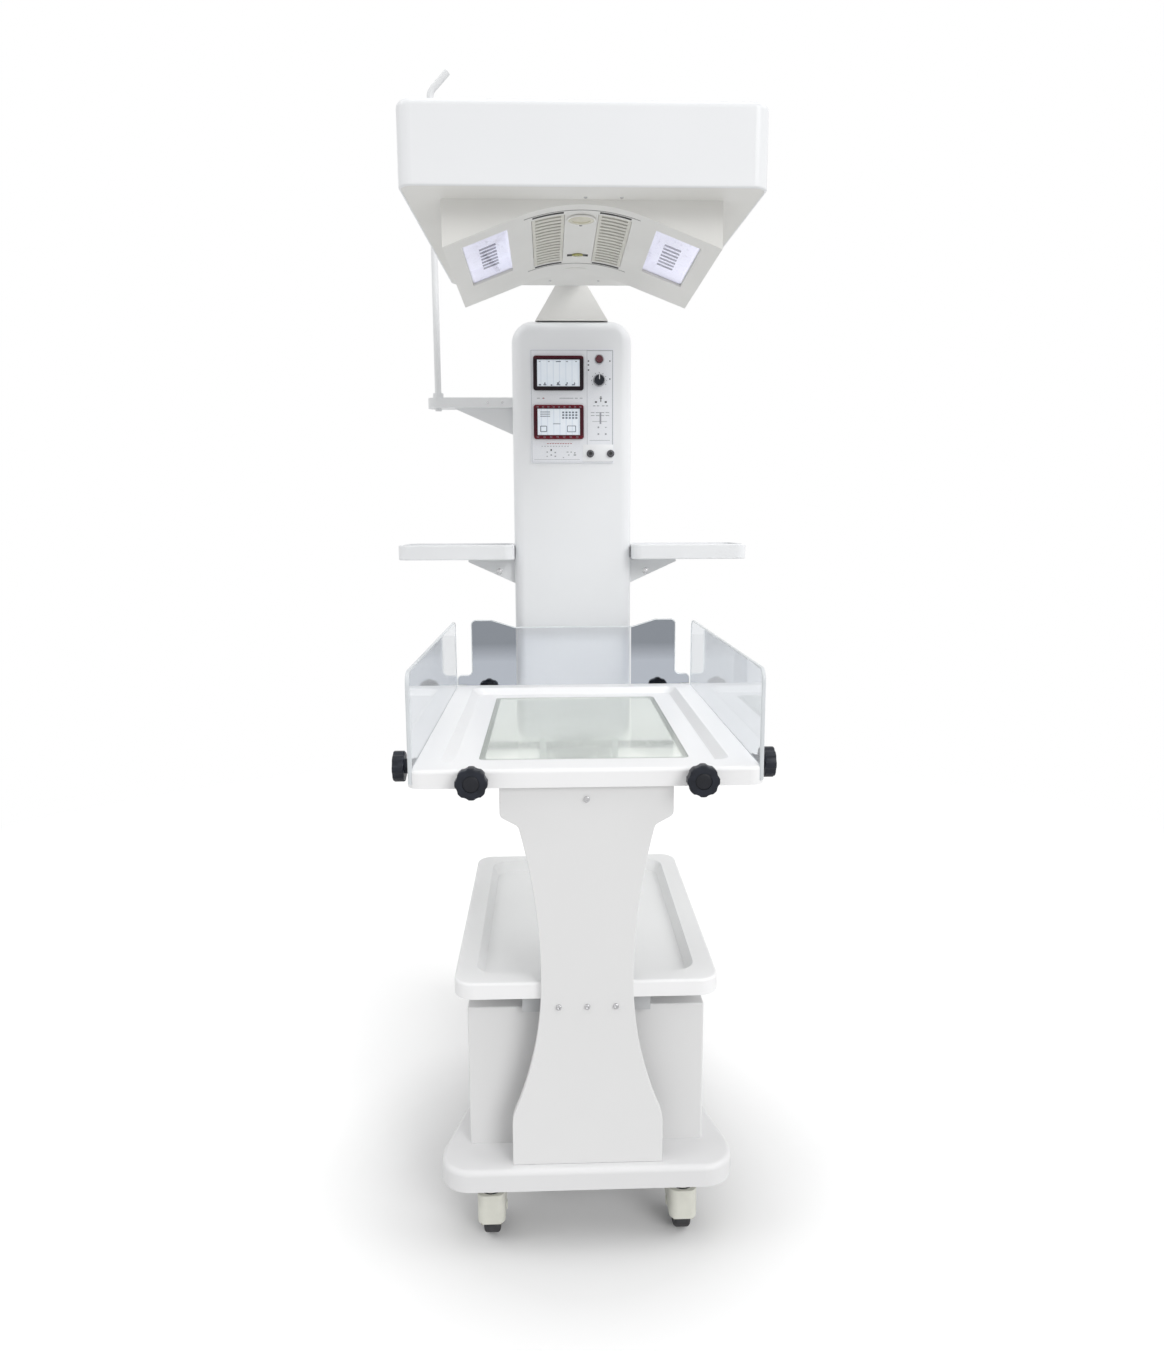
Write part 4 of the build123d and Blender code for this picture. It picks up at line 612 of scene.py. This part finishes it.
# Hexagon bolts on the shelf gussets, seen from the front
gussetBolts = {"radius": 6, "height": 4, "washer": 8, "washerHeight": 1, "front": 396, "out": 186, "z": 1186}
washerHeight = gussetBolts["washerHeight"]
bolt = addPost("bolt", washerHeight, washerHeight + gussetBolts["height"], gussetBolts["radius"], 6)
softenEdges(bolt, 0.5)
washer = addPost("washer", 0, washerHeight, gussetBolts["washer"], 36)
softenEdges(washer, 0.3)
bolt = joinPieces("bolt", [bolt, washer])
bolts = [copyOf(bolt, "bolt", shift(x, gussetBolts["front"], gussetBolts["z"]) @ lookFront)
         for x in (-gussetBolts["out"], gussetBolts["out"])]
finishPiece(joinPieces("gussetBolts", bolts), "root", "bright_steel")
drop(bolt, crossScrew, socketScrew)
print("screws and bolts done")

# The tower's seam, a thin line where the shell meets its back cover
towerSeam = {"proud": 0.25, "wide": 1.4, "y": 449, "half": 146, "foot": 745, "top": 1790, "deep": 1.2,
             "split": 1300, "topRound": 52, "footRound": 40}
proud, thin = towerSeam["proud"], towerSeam["wide"] / 2
seam = addBlock("towerSeam", (-towerSeam["half"] - proud, towerSeam["y"] - thin, towerSeam["foot"] - proud),
                (towerSeam["half"] + proud, towerSeam["y"] + thin, towerSeam["top"] + proud))
split = towerSeam["split"] * mm
for atTop, radius in ((True, towerSeam["topRound"]), (False, towerSeam["footRound"])):
    roundEdges(seam, lambda middle, line: along(1)(middle, line) and (middle.z > split) == atTop, radius, 10)
openMiddle(seam, across(1), towerSeam["deep"])
finishPiece(seam, "root", "white_moulding", "seam_grey")


# Vents: a frame with slanted slats, on the tower's back and behind the hood
towerVent = {"width": 170, "height": 96, "deep": 3.2, "border": 6, "corner": 6, "slat": 5, "slats": 12,
             "body": "root", "places": {"towerVent": (0, 489, 1560)}}
hoodVent = {"width": 150, "height": 44, "deep": 2.6, "border": 5, "corner": 5, "slat": 4, "slats": 6,
            "body": "hood", "places": {"hoodVentLeft": (-160, 164, 1880), "hoodVentRight": (160, 164, 1880)}}
ventSlats = {"thick": 1, "overlap": 0.5, "depthShare": 0.45, "slant": 28}


def addVents(look):
    width, height, deep = look["width"] / 2, look["height"] / 2, look["deep"]
    inner = width - look["border"] + ventSlats["overlap"]
    half, thick = look["slat"] / 2, ventSlats["thick"] / 2
    span = 2 * (height - look["border"])
    rows = [((row + 0.5) / look["slats"] - 0.5) * span for row in range(look["slats"])]
    for name, place in look["places"].items():
        rim = addBlock(name, (-width, -height, 0), (width, height, deep))
        roundEdges(rim, along(2), look["corner"], 4)
        openMiddle(rim, across(2), look["border"])
        softenEdges(rim, 0.5)
        slat = addBlock("slat", (-inner, -half, -thick), (inner, half, thick))
        softenEdges(slat, 0.3)
        tilt = turned("X", ventSlats["slant"])
        slats = [copyOf(slat, "slat", shift(0, row, deep * ventSlats["depthShare"]) @ tilt) for row in rows]
        drop(slat)
        vent = joinPieces(name, [rim, *slats])
        vent.data.transform(shift(*place) @ lookBack)
        finishPiece(vent, look["body"], "white_moulding")


addVents(towerVent)
# A thin dark sheet behind the tower vent's slats, painted shade in the vent's opening
ventShade = {"low": (-79, 488.6, 1518), "high": (79, 489.3, 1602)}
gap = addBlock("towerVentShade", ventShade["low"], ventShade["high"])
softenEdges(gap, 0.1)
finishPiece(gap, "root", "white_moulding", "painted_gap_shade")
addVents(hoodVent)
print("seam and vents done")


# Marks are thin raised blocks on a flat front, given by their middle, width and height in X and Z
markMaster = addBlock("mark", (-500, -1000, -500), (500, 0, 500))


def addMarks(name, front, thick, marks, finish, slot="panel_print"):
    blocks = []
    for x, z, wide, high in marks:
        size = Matrix.Diagonal((wide * mm, thick * mm, high * mm, 1))
        blocks.append(copyOf(markMaster, "mark", shift(x, front, z) @ size))
    finishPiece(joinPieces(name, blocks), "root", slot, finish)


def outline(x, z, wide, high, line):
    return [(x, z + high / 2, wide, line), (x, z - high / 2, wide, line),
            (x - wide / 2, z, line, high), (x + wide / 2, z, line, high)]


# Control panel: its border, columns and small print, as blank marks without words
panelFront = 356
panelPrint = {
    "panelLines": (0.12, "ink_grey", [
        *outline(0, 1587, 198, 264, 0.7), *outline(67.5, 1605, 62, 226, 0.7), (-38, 1461, 112, 0.7),
        *[(x, 1607, 7, 1.6) for x in (-82, -70, 10, 22)], (-14, 1607, 34, 1.4),
        *[(x, z, 9, 1.5) for x in (50, 62, 74, 86) for z in (1573, 1566)],
        *[(-74 + 7 * column, 1493, 3.4, 1.4) for column in range(10)],
        (67, 1552, 36, 0.9), (67, 1507, 50, 0.9),
        (-62, 1479, 3, 3), (-52, 1472, 4, 3), (-42, 1478, 4, 3), (-62, 1469, 3, 2), (-42, 1469, 4, 2.6),
        (-12, 1479, 5, 2), (-3, 1479, 4, 2), (6, 1472, 6, 3), (-9, 1472, 4, 2), (-22, 1466, 3, 2),
        (64, 1538, 4, 4), (64, 1522, 4, 4), (82, 1522, 4, 4), (82, 1538, 4, 1.8),
        *[(x, 1589, 6, 1.8) for x in (54, 63, 76, 85)]]),
    "panelMarks": (0.14, "ink_dark", [
        (70, 1603, 2.0, 9), (70, 1607, 6, 2), (70, 1610, 3.5, 2), (58, 1598, 5, 4), (82, 1598, 5, 4),
        (-52, 1484, 3.4, 4.4), (6, 1477, 3, 2),
        *[(40, z, 3.4, 3.4) for z in (1694, 1685, 1673)], *[(92, z, 3.0, 3.0) for z in (1694, 1652)]]),
    "panelBar": (0.16, "ink_grey", [(69, 1560, 4.2, 28)]),
    "panelRedMarks": (0.14, "ink_red", [
        *[(-60 + 6.3 * column, 1499.5, 4.0, 1.6) for column in range(10)], (-70, 1607, 2.6, 2.6)]),
}
for name, (thick, inkName, marks) in panelPrint.items():
    addMarks(name, panelFront, thick, marks, inkName)

# The screens sit in the bezels' recesses
screens = {"left": -84.6, "right": 18.6, "front": 351.1, "back": 352.0, "border": 1.2, "sink": 0.35,
           "heights": {"upper": (1634.4, 1696.6), "lower": (1519.4, 1581.6)}}
for level, (foot, top) in screens["heights"].items():
    glass = addBlock(level + "Screen", (screens["left"], screens["front"], foot),
                     (screens["right"], screens["back"], top))
    sinkFace(glass, facing(1, -1), screens["border"], screens["sink"])
    softenEdges(glass, 0.12)
    finishPiece(glass, "root", "bezel_red", "screen")
screenPrint = {
    "upperScreenMarks": (351.5, 0.1, "screen_ink", [
        (-78, 1638, 5, 3.4), (-66, 1638, 7, 2.6), (-50, 1637, 4, 4), (-33, 1638, 9, 2.4), (-14, 1638, 5, 3.4),
        (3, 1638, 7, 2.6), (-33, 1692, 12, 2.2),
        (-66, 1641.5, 3, 4), (-34, 1641.5, 5, 4.5), (-31, 1645, 2, 3), (-12, 1642, 3, 4), (6, 1641, 2.4, 5),
        (-78, 1692, 4, 1.6), (-56, 1692, 4, 1.6), (-12, 1692, 5, 1.6), (10, 1692, 4, 1.6)]),
    "lowerScreenMarks": (351.5, 0.1, "screen_ink", [
        *[(-66, z, 24, 1.8) for z in (1574, 1569, 1564)],
        *[(x, z, 5, 4) for x in (-22, -14, -6, 2, 10) for z in (1573, 1566.5, 1560)],
        *outline(-70, 1534, 15, 13, 1.8), *outline(-2, 1534, 20, 14, 1.6), (-38, 1546, 18, 1.6)]),
    "bezelMarks": (350, 0.12, "ink_grey", [
        *[(-84 + 13 * column, 1585.7, 5, 1.2) for column in range(9)],
        *[(-84 + 16 * column, 1514.6, 6, 1.2) for column in range(7)]]),
}
for name, (front, thick, inkName, marks) in screenPrint.items():
    addMarks(name, front, thick, marks, inkName, "bezel_red")
print("panel print and screens done")

# The sub-panel round the probe sockets, with a nut and an insert at each; the insert's dark is painted shade
# in the socket's bore
subPanelPlate = {"low": (26, 354.9, 1456), "high": (100.5, 356, 1497), "corner": 3}
subPanel = addBlock("subPanel", subPanelPlate["low"], subPanelPlate["high"])
roundEdges(subPanel, along(1), subPanelPlate["corner"], 4)
softenEdges(subPanel, 0.25)
finishPiece(subPanel, "root", "panel_print", "white_moulding")
sockets = {"x": (44, 94), "z": 1475, "nutY": 350.8, "nut": 8.2, "nutDeep": 2.4, "nutRim": 2.0,
           "insertY": 349.2, "insert": 3.9, "insertDeep": 4, "insertRim": 1.1, "insertSink": 1.4}
nuts, inserts = [], []
for x in sockets["x"]:
    nut = addRound("nut", (x, sockets["nutY"], sockets["z"]), sockets["nut"], sockets["nutDeep"], "Y", 6)
    openMiddle(nut, across(1), sockets["nutRim"])
    softenEdges(nut, 0.35)
    nuts.append(nut)
    insert = addRound("insert", (x, sockets["insertY"], sockets["z"]), sockets["insert"],
                      sockets["insertDeep"], "Y", 32)
    sinkFace(insert, facing(1, -1), sockets["insertRim"], sockets["insertSink"])
    inserts.append(insert)
finishPiece(joinPieces("socketNuts", nuts), "root", "bright_steel", "dark_steel")
finishPiece(joinPieces("socketInserts", inserts), "root", "bright_steel", "painted_gap_shade")

# The button's ring, and the selector's pointer, skirt and ticks
buttonRing = {"centre": (66, 354.2, 1698), "radius": 12, "rim": 2.4, "deep": 3.6}
ring = addRound("buttonRing", buttonRing["centre"], buttonRing["radius"], buttonRing["deep"], "Y", 48)
openMiddle(ring, across(1), buttonRing["rim"])
softenEdges(ring, 0.8, 3)
finishPiece(ring, "root", "panel_print", "ring_grey")
selector = {"x": 66, "z": 1649, "pointerLow": (65.1, 341.2, 1650), "pointerHigh": (66.9, 341.9, 1660.5),
            "skirtY": 355.2, "skirt": 15.5, "skirtDeep": 1.4, "skirtRim": 1.6, "skirtSink": 0.4,
            "tickOut": 18.5, "tick": 1.6, "tickThick": 0.12, "tickTurns": range(-120, 121, 30)}
pointer = addBlock("selectorPointer", selector["pointerLow"], selector["pointerHigh"])
softenEdges(pointer, 0.25)
finishPiece(pointer, "selector", "knob_black", "white_moulding")
skirt = addRound("selectorSkirt", (selector["x"], selector["skirtY"], selector["z"]), selector["skirt"],
                 selector["skirtDeep"], "Y", 48)
sinkFace(skirt, facing(1, -1), selector["skirtRim"], selector["skirtSink"])
softenEdges(skirt, 0.3)
finishPiece(skirt, "root", "panel_print", "ring_grey")
out, tick = selector["tickOut"], selector["tick"]
ticks = [(selector["x"] + out * math.sin(angle), selector["z"] + out * math.cos(angle), tick, tick)
         for angle in map(math.radians, selector["tickTurns"])]
addMarks("selectorTicks", panelFront, selector["tickThick"], ticks, "ink_dark")
print("panel fittings done")

# Clamp knobs: a round head with shallow scallops, its hub and its stud, and a cap sunk in its face
clampKnob = {"radius": 27, "foot": 14, "top": 34, "scallops": 8, "scallop": 16, "bite": 1.8, "edge": 2.8,
             "dish": 14, "dishDepth": 2, "hub": 13, "hubFoot": 3.3, "stud": 4, "past": 4,
             "z": 890, "reach": {"front": 12, "back": 3, "side": 3}}
knobCap = {"radius": 13.4, "high": 1.2, "rim": 4, "dome": 0.8}
knobSeats = {
    "front_left": (-190, -501, lookFront), "front_right": (190, -501, lookFront),
    "back_left": (-215, 329, lookBack), "back_right": (215, 329, lookBack),
    "side_left": (-300, -409, lookLeft), "side_right": (300, -409, lookRight),
}


def makeKnob(name, reach):
    look = clampKnob
    middle, thick = (look["foot"] + look["top"]) / 2, look["top"] - look["foot"]
    head = addPost(name, look["foot"], look["top"], look["radius"], 144)
    for x, y in ringPlaces(look["scallops"], look["radius"] + look["scallop"] - look["bite"], 0.5):
        carve(head, addRound("cutter", (x, y, middle), look["scallop"], thick + look["past"], sides=96))
    softenEdges(head, look["edge"], 4, 50)
    carve(head, addRound("cutter", (0, 0, look["top"]), look["dish"], 2 * look["dishDepth"], sides=64))
    hub = addPost("hub", look["hubFoot"], look["foot"], look["hub"], 48)
    stud = addPost("stud", -reach, look["foot"], look["stud"], 32)
    return joinPieces(name, [head, hub, stud])


cap = addPost("cap", 0, knobCap["high"], knobCap["radius"], 48)
with editing(cap):
    pickFaces(cap, facing(2, 1))
    bpy.ops.mesh.inset(thickness=knobCap["rim"] * mm, depth=knobCap["dome"] * mm)
softenEdges(cap, 0.4, 3, 20)
for place, (x, y, turn) in knobSeats.items():
    body, seat = "knob_" + place + "_body", shift(x, y, clampKnob["z"]) @ turn
    knob = makeKnob("clampKnob_" + place, clampKnob["reach"][place.split("_")[0]])
    knob.data.transform(seat)
    finishPiece(knob, body, "knob_black", smooth=25)
    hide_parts("knob_" + place)
    disc = copyOf(cap, "knobCap_" + place, seat @ shift(0, 0, clampKnob["top"] - clampKnob["dishDepth"]))
    finishPiece(disc, body, "knob_black", "knob_cap", 25)
drop(cap)
print("clamp knobs done")

# Casters: a rounded housing over the wheel, a swivel ring at its neck, dark as painted shade in the gap
# there, and a cap at each axle's end
housing = {"half": 25.2, "back": 72, "foot": 43, "top": 101, "nose": 15, "slope": 34, "slopeFrom": 90,
           "trail": 25, "axleZ": 45, "axle": 4, "axleShort": 1, "slot": 33, "slotRadius": 47.5,
           "neck": 19, "neckFoot": 98, "neckTop": 134, "stem": 6, "stemFoot": 128, "stemTop": 158}
swivelRing = {"radius": 20.4, "deep": 2.4, "rim": 4, "z": 101.6}
axleCap = {"radius": 8.5, "high": 1.6, "rim": 2.2, "sink": 0.7}
casterPlaces = {"front_left": (-176, -451), "front_right": (176, -451),
                "back_left": (-176, 455), "back_right": (176, 455)}


def makeHousing(look):
    half, axleCentre, slopeFrom = look["half"], (0, look["trail"], look["axleZ"]), look["slopeFrom"] * mm
    shell = addBlock("housing", (-half, -half, look["foot"]), (half, look["back"], look["top"]))
    roundEdges(shell, lambda middle, line: along(0)(middle, line) and middle.y > 0 and middle.z > slopeFrom,
               look["slope"], 10)
    roundEdges(shell, lambda middle, line: along(2)(middle, line) and middle.y < 0, look["nose"], 12)
    carve(shell, addRound("cutter", axleCentre, look["slotRadius"], look["slot"], "X", 72))
    softenEdges(shell, 3.2, 4, 50)
    neck = addPost("neck", look["neckFoot"], look["neckTop"], look["neck"], 48)
    softenEdges(neck, 2.0, 3)
    stem = addPost("stem", look["stemFoot"], look["stemTop"], look["stem"], 28)
    axle = addRound("axle", axleCentre, look["axle"], 2 * half - look["axleShort"], "X", 24)
    return joinPieces("housing", [shell, neck, stem, axle])


housingMaster = makeHousing(housing)
ringMaster = addRound("ring", (0, 0, 0), swivelRing["radius"], swivelRing["deep"], sides=48)
openMiddle(ringMaster, across(2), swivelRing["rim"])
softenEdges(ringMaster, 0.8)
capMaster = addPost("cap", 0, axleCap["high"], axleCap["radius"], 36)
sinkFace(capMaster, facing(2, 1), axleCap["rim"], axleCap["sink"])
softenEdges(capMaster, 0.35)
for place, (x, y) in casterPlaces.items():
    body = "fork_" + place
    shell = copyOf(housingMaster, "casterHousing_" + place, shift(x, y, 0))
    finishPiece(shell, body, "caster_ivory", smooth=40)
    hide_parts("caster_fork_" + place)
    ring = copyOf(ringMaster, "swivelRing_" + place, shift(x, y, swivelRing["z"]))
    finishPiece(ring, body, "caster_ivory", "painted_gap_shade")
    ends = ((x - housing["half"], lookLeft), (x + housing["half"], lookRight))
    caps = [copyOf(capMaster, "cap", shift(end, y + housing["trail"], housing["axleZ"]) @ turn)
            for end, turn in ends]
    finishPiece(joinPieces("axleCaps_" + place, caps), body, "caster_ivory")
drop(housingMaster, ringMaster, capMaster)
print("casters done")

# A pale band round each clear wall, a painted highlight for the gleam of its polished edge
wallHighlightBand = {"line": 1.3, "proud": 0.15, "weld": 0.01}
for side, axis in (("left", 0), ("right", 0), ("back", 1)):
    wall = nodes["wall_" + side]
    band = copyOf(wall, "wallHighlightBand_" + side, wall.matrix_world)
    band.parent = None
    band.matrix_world = Matrix.Identity(4)
    with editing(band):
        bpy.ops.mesh.select_all(action="SELECT")
        bpy.ops.mesh.remove_doubles(threshold=wallHighlightBand["weld"] * mm)
        bpy.ops.mesh.customdata_custom_splitnormals_clear()
        pickFaces(band, across(axis))
        bpy.ops.mesh.inset(thickness=wallHighlightBand["line"] * mm, depth=0, use_boundary=True)
        bpy.ops.mesh.bridge_edge_loops()
        bpy.ops.mesh.select_all(action="SELECT")
        bpy.ops.transform.shrink_fatten(value=wallHighlightBand["proud"] * mm)
    finishPiece(band, side + "_wall", "clear_acrylic", "wall_edge_highlight")
print("wall edges done")

# Lamp housings behind the two light windows: a white tray with thin fins across it, its white glowing a
# little as painted light, though the tray is no lamp
lampTray = {"x": 162, "y": -226.5, "z": 1781.7, "width": 84, "length": 266, "deep": 26, "wall": 2, "floor": 4,
            "corner": 6, "tilt": 21, "fin": (31, 1.3, 3), "finFoot": 2,
            "fins": (-44, -24, -4, 16, 36, 56, 76)}
for side, way in (("Left", -1), ("Right", 1)):
    place = shift(way * lampTray["x"], lampTray["y"], lampTray["z"]) @ turned("Y", way * lampTray["tilt"])
    half, length = lampTray["width"] / 2, lampTray["length"] / 2
    tray = addBlock("lampTray" + side, (-half, -length, 0), (half, length, lampTray["deep"]))
    roundEdges(tray, along(2), lampTray["corner"], 4)
    sinkFace(tray, facing(2, -1), lampTray["wall"], lampTray["deep"] - lampTray["floor"])
    tray.data.transform(place)
    finishPiece(tray, "hood", "window_glass", "lamp_white_painted_glow")
    (wide, thin, tall), foot = lampTray["fin"], lampTray["finFoot"]
    fin = addBlock("fin", (-wide / 2, -thin / 2, foot), (wide / 2, thin / 2, foot + tall))
    softenEdges(fin, 0.4)
    fins = [copyOf(fin, "fin", place @ shift(0, row, 0)) for row in lampTray["fins"]]
    drop(fin)
    finishPiece(joinPieces("lampFins" + side, fins), "hood", "window_glass", "fin_grey")


# Dark slots, painted shade where the arch is open, and grey rims in the arch, each cut from a thin shell of
# the arch's own curve
archCurve = {"centre": 1522, "radius": 293, "sunk": 0.5, "proud": 0.4, "past": 5, "foot": 1700, "top": 1830}
archStrips = {
    "grilleSlotFrontLeft": ((-82, -365.5), (-30, -358.5), "painted_gap_shade"),
    "grilleSlotFrontRight": ((30, -365.5), (82, -358.5), "painted_gap_shade"),
    "grilleSlotBackLeft": ((-82, -63), (-30, -54.5), "painted_gap_shade"),
    "grilleSlotBackRight": ((30, -63), (82, -54.5), "painted_gap_shade"),
    "rearSlot": ((-20, -112), (20, -100), "painted_gap_shade"),
    "grilleRimFront": ((-96, -372), (96, -370), "seam_grey"),
    "grilleRimBack": ((-96, -49), (96, -47), "seam_grey"),
}


def makeArchShell(name, sunk, proud, low, high):
    centre, past = (0, (low[1] + high[1]) / 2, archCurve["centre"]), archCurve["past"]
    length = high[1] - low[1]
    shell = addRound(name, centre, archCurve["radius"] + proud, length, "Y", 256)
    carve(shell, addRound("cutter", centre, archCurve["radius"] - sunk, length + 2 * past, "Y", 256))
    carve(shell, addBlock("cutter", (low[0], low[1] - past, archCurve["foot"]),
                          (high[0], high[1] + past, archCurve["top"])), "INTERSECT")
    return shell


for name, (low, high, finish) in archStrips.items():
    strip = makeArchShell(name, archCurve["sunk"], archCurve["proud"], low, high)
    finishPiece(strip, "hood", "white_steel", finish)

# The two heater grilles, each a curved plate with slots across it
grille = {"inner": 28.6, "outer": 83.4, "front": -350.4, "back": -69.6, "thick": 3, "slots": 16, "slot": 7.0,
          "margin": 5.5}
plates = []
for way in (-1, 1):
    left, right = sorted((way * grille["inner"], way * grille["outer"]))
    plate = makeArchShell("grille", 0, grille["thick"], (left, grille["front"]), (right, grille["back"]))
    pitch = (grille["back"] - grille["front"]) / grille["slots"]
    margin, half = grille["margin"], grille["slot"] / 2
    for slot in range(grille["slots"]):
        row = grille["front"] + (slot + 0.5) * pitch
        carve(plate, addBlock("cutter", (left + margin, row - half, archCurve["foot"]),
                              (right - margin, row + half, archCurve["top"])))
    plates.append(plate)
grilles = joinPieces("slottedGrilles", plates)
softenEdges(grilles, 0.4, 1, 50)
finishPiece(grilles, "hood", "grille_cream")
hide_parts("heater_grilles")

# Small lenses in the hood's pan and the ring round its lamp
lenses = {  # middle, radius, stretch across, slot and finish
    "rearLens": ((0, -110, 1813.6), 9, 1.2, "lamp_glass", "lens_amber"),
    "ovalLens": ((0, -4, 1814.4), 12, 2.2, "grille_cream", "shaded_warm_white"),
    # the sensor hole is a dark disc, painted shade in the hole
    "sensorHole": ((0, -292, 1814.6), 3.2, 1, "grille_cream", "painted_gap_shade"),
}
lensThick = 2.4
for name, (centre, radius, stretch, slot, finish) in lenses.items():
    lens = addRound(name, (0, 0, 0), radius, lensThick)
    softenEdges(lens, 1.0, 3)
    lens.data.transform(shift(*centre) @ Matrix.Diagonal((stretch, 1, 1, 1)))
    finishPiece(lens, "hood", slot, finish)
lampRing = {"centre": (0, -326, 1812.8), "radius": 25, "deep": 3, "rim": 3.2}
ring = addRound("lampRing", lampRing["centre"], lampRing["radius"], lampRing["deep"], sides=64)
openMiddle(ring, across(2), lampRing["rim"])
softenEdges(ring, 0.8)
finishPiece(ring, "hood", "grille_cream", "shaded_warm_white")
print("lamps and arch details done")

# The clamp screw of the drip pole, a ribbed thumbwheel at the arm's end
thumbWheel = {"pole": (-340, 424, 1602), "out": 8.5, "radius": 9, "high": 8, "ribs": 20, "rib": 0.9,
              "ribShort": 2.4}
radius, high = thumbWheel["radius"], thumbWheel["high"]
wheel = addRound("poleClamp", (0, 0, 0), radius, high)
softenEdges(wheel, 0.9, 3)
ribs = [addRound("rib", (x, y, 0), thumbWheel["rib"], high - thumbWheel["ribShort"], sides=10)
        for x, y in ringPlaces(thumbWheel["ribs"], radius)]
wheel = joinPieces("poleClamp", [wheel, *ribs])
wheel.data.transform(shift(*thumbWheel["pole"]) @ shift(-thumbWheel["out"], 0, 0) @ lookLeft)
finishPiece(wheel, "root", "knob_black", smooth=30)

# A fuse drawer beside the mains inlet's well
fuseDrawer = {"low": (-20, 491.6, 784), "high": (20, 492.6, 789.5)}
drawer = addBlock("fuseDrawer", fuseDrawer["low"], fuseDrawer["high"])
softenEdges(drawer, 0.3)
finishPiece(drawer, "root", "knob_black", "knob_cap")
drop(markMaster, smallScrew)
print("pole clamp and fuse drawer done")


# The floor keeps the object's own shadow and adds a painted shadow round it: its glow is nil near the middle
# under the object and rises a little beyond that, and it fades into white
floorLook = {"radius": 9.0, "fadeFrom": 1.3, "fadeTo": 3.2, "albedo": 0.84, "bounce": 0.74,
             "middle": (0.0, -0.34, 0.0), "glow": (0.0, 0.26), "paintedShadowReach": (0.26, 0.62)}


def makeFloor(look):
    bpy.ops.object.select_all(action="DESELECT")
    bpy.ops.mesh.primitive_circle_add(vertices=96, radius=look["radius"], fill_type="NGON")
    floor = bpy.context.object
    floor.name = "floor"
    finish, tree, shader = newFinish("floor")
    tree.nodes.remove(shader)
    point = objectPoint(tree)
    away = addNode(tree, "ShaderNodeVectorMath", {"Vector": point}, operation="LENGTH").outputs["Value"]
    fade = remap(tree, away, look["fadeFrom"], look["fadeTo"], 0, 1)
    # painted shadow: the glow rises from nil to a little between these distances from the middle
    aside = addNode(tree, "ShaderNodeVectorMath", {0: point, 1: look["middle"]}, operation="DISTANCE")
    paintedShadowGlow = remap(tree, aside.outputs["Value"], *look["paintedShadowReach"], *look["glow"])
    near = addNode(tree, "ShaderNodeBsdfDiffuse", {"Color": (*[look["albedo"]] * 3, 1)}).outputs["BSDF"]
    bounce = addNode(tree, "ShaderNodeBsdfDiffuse", {"Color": (*[look["bounce"]] * 3, 1)}).outputs["BSDF"]
    glow = addNode(tree, "ShaderNodeEmission", {"Strength": paintedShadowGlow}).outputs["Emission"]
    white = addNode(tree, "ShaderNodeEmission", {"Strength": 1.0}).outputs["Emission"]
    lit = addNode(tree, "ShaderNodeAddShader", {0: near, 1: glow}).outputs["Shader"]
    rays = addNode(tree, "ShaderNodeLightPath").outputs
    seen = larger(tree, rays["Is Camera Ray"], rays["Is Transmission Ray"])
    shown = blendShaders(tree, seen, bounce, blendShaders(tree, fade, lit, white))
    tree.links.new(shown, tree.nodes["Material Output"].inputs["Surface"])
    floor.data.materials.append(finish)


# The world is white where it is seen, mirrored or seen through, and dimmer as a light
def lightWorld(ambient):
    world = bpy.data.worlds.new("world")
    bpy.context.scene.world = world
    world.use_nodes = True
    tree = world.node_tree
    rays = addNode(tree, "ShaderNodeLightPath").outputs
    direct = larger(tree, rays["Is Camera Ray"], rays["Is Glossy Ray"])
    clear = larger(tree, direct, rays["Is Transmission Ray"])
    background = tree.nodes["Background"]
    background.inputs["Color"].default_value = (1, 1, 1, 1)
    tree.links.new(remap(tree, clear, 0, 1, ambient, 1.0), background.inputs["Strength"])


suns = {
    "keySun": {"from": (0.46, -0.76, 0.46), "strength": 0.33, "spread": 28},
    "leftSun": {"from": (-0.72, -0.12, 0.68), "strength": 0.18, "spread": 34},
    "rightSun": {"from": (0.72, -0.12, 0.68), "strength": 0.18, "spread": 34},
    "overheadSun": {"from": (0.05, -0.12, 1.0), "strength": 0.12, "spread": 40},
}


def addSun(name, look):
    lamp = bpy.data.lights.new(name, "SUN")
    lamp.energy = look["strength"] * math.pi
    lamp.angle = math.radians(look["spread"])
    sun = bpy.data.objects.new(name, lamp)
    sun.rotation_euler = Vector(look["from"]).to_track_quat("Z", "Y").to_euler()
    bpy.context.scene.collection.objects.link(sun)


makeFloor(floorLook)
lightWorld(ambient=0.6)
for name, look in suns.items():
    addSun(name, look)
print("floor and lights done")
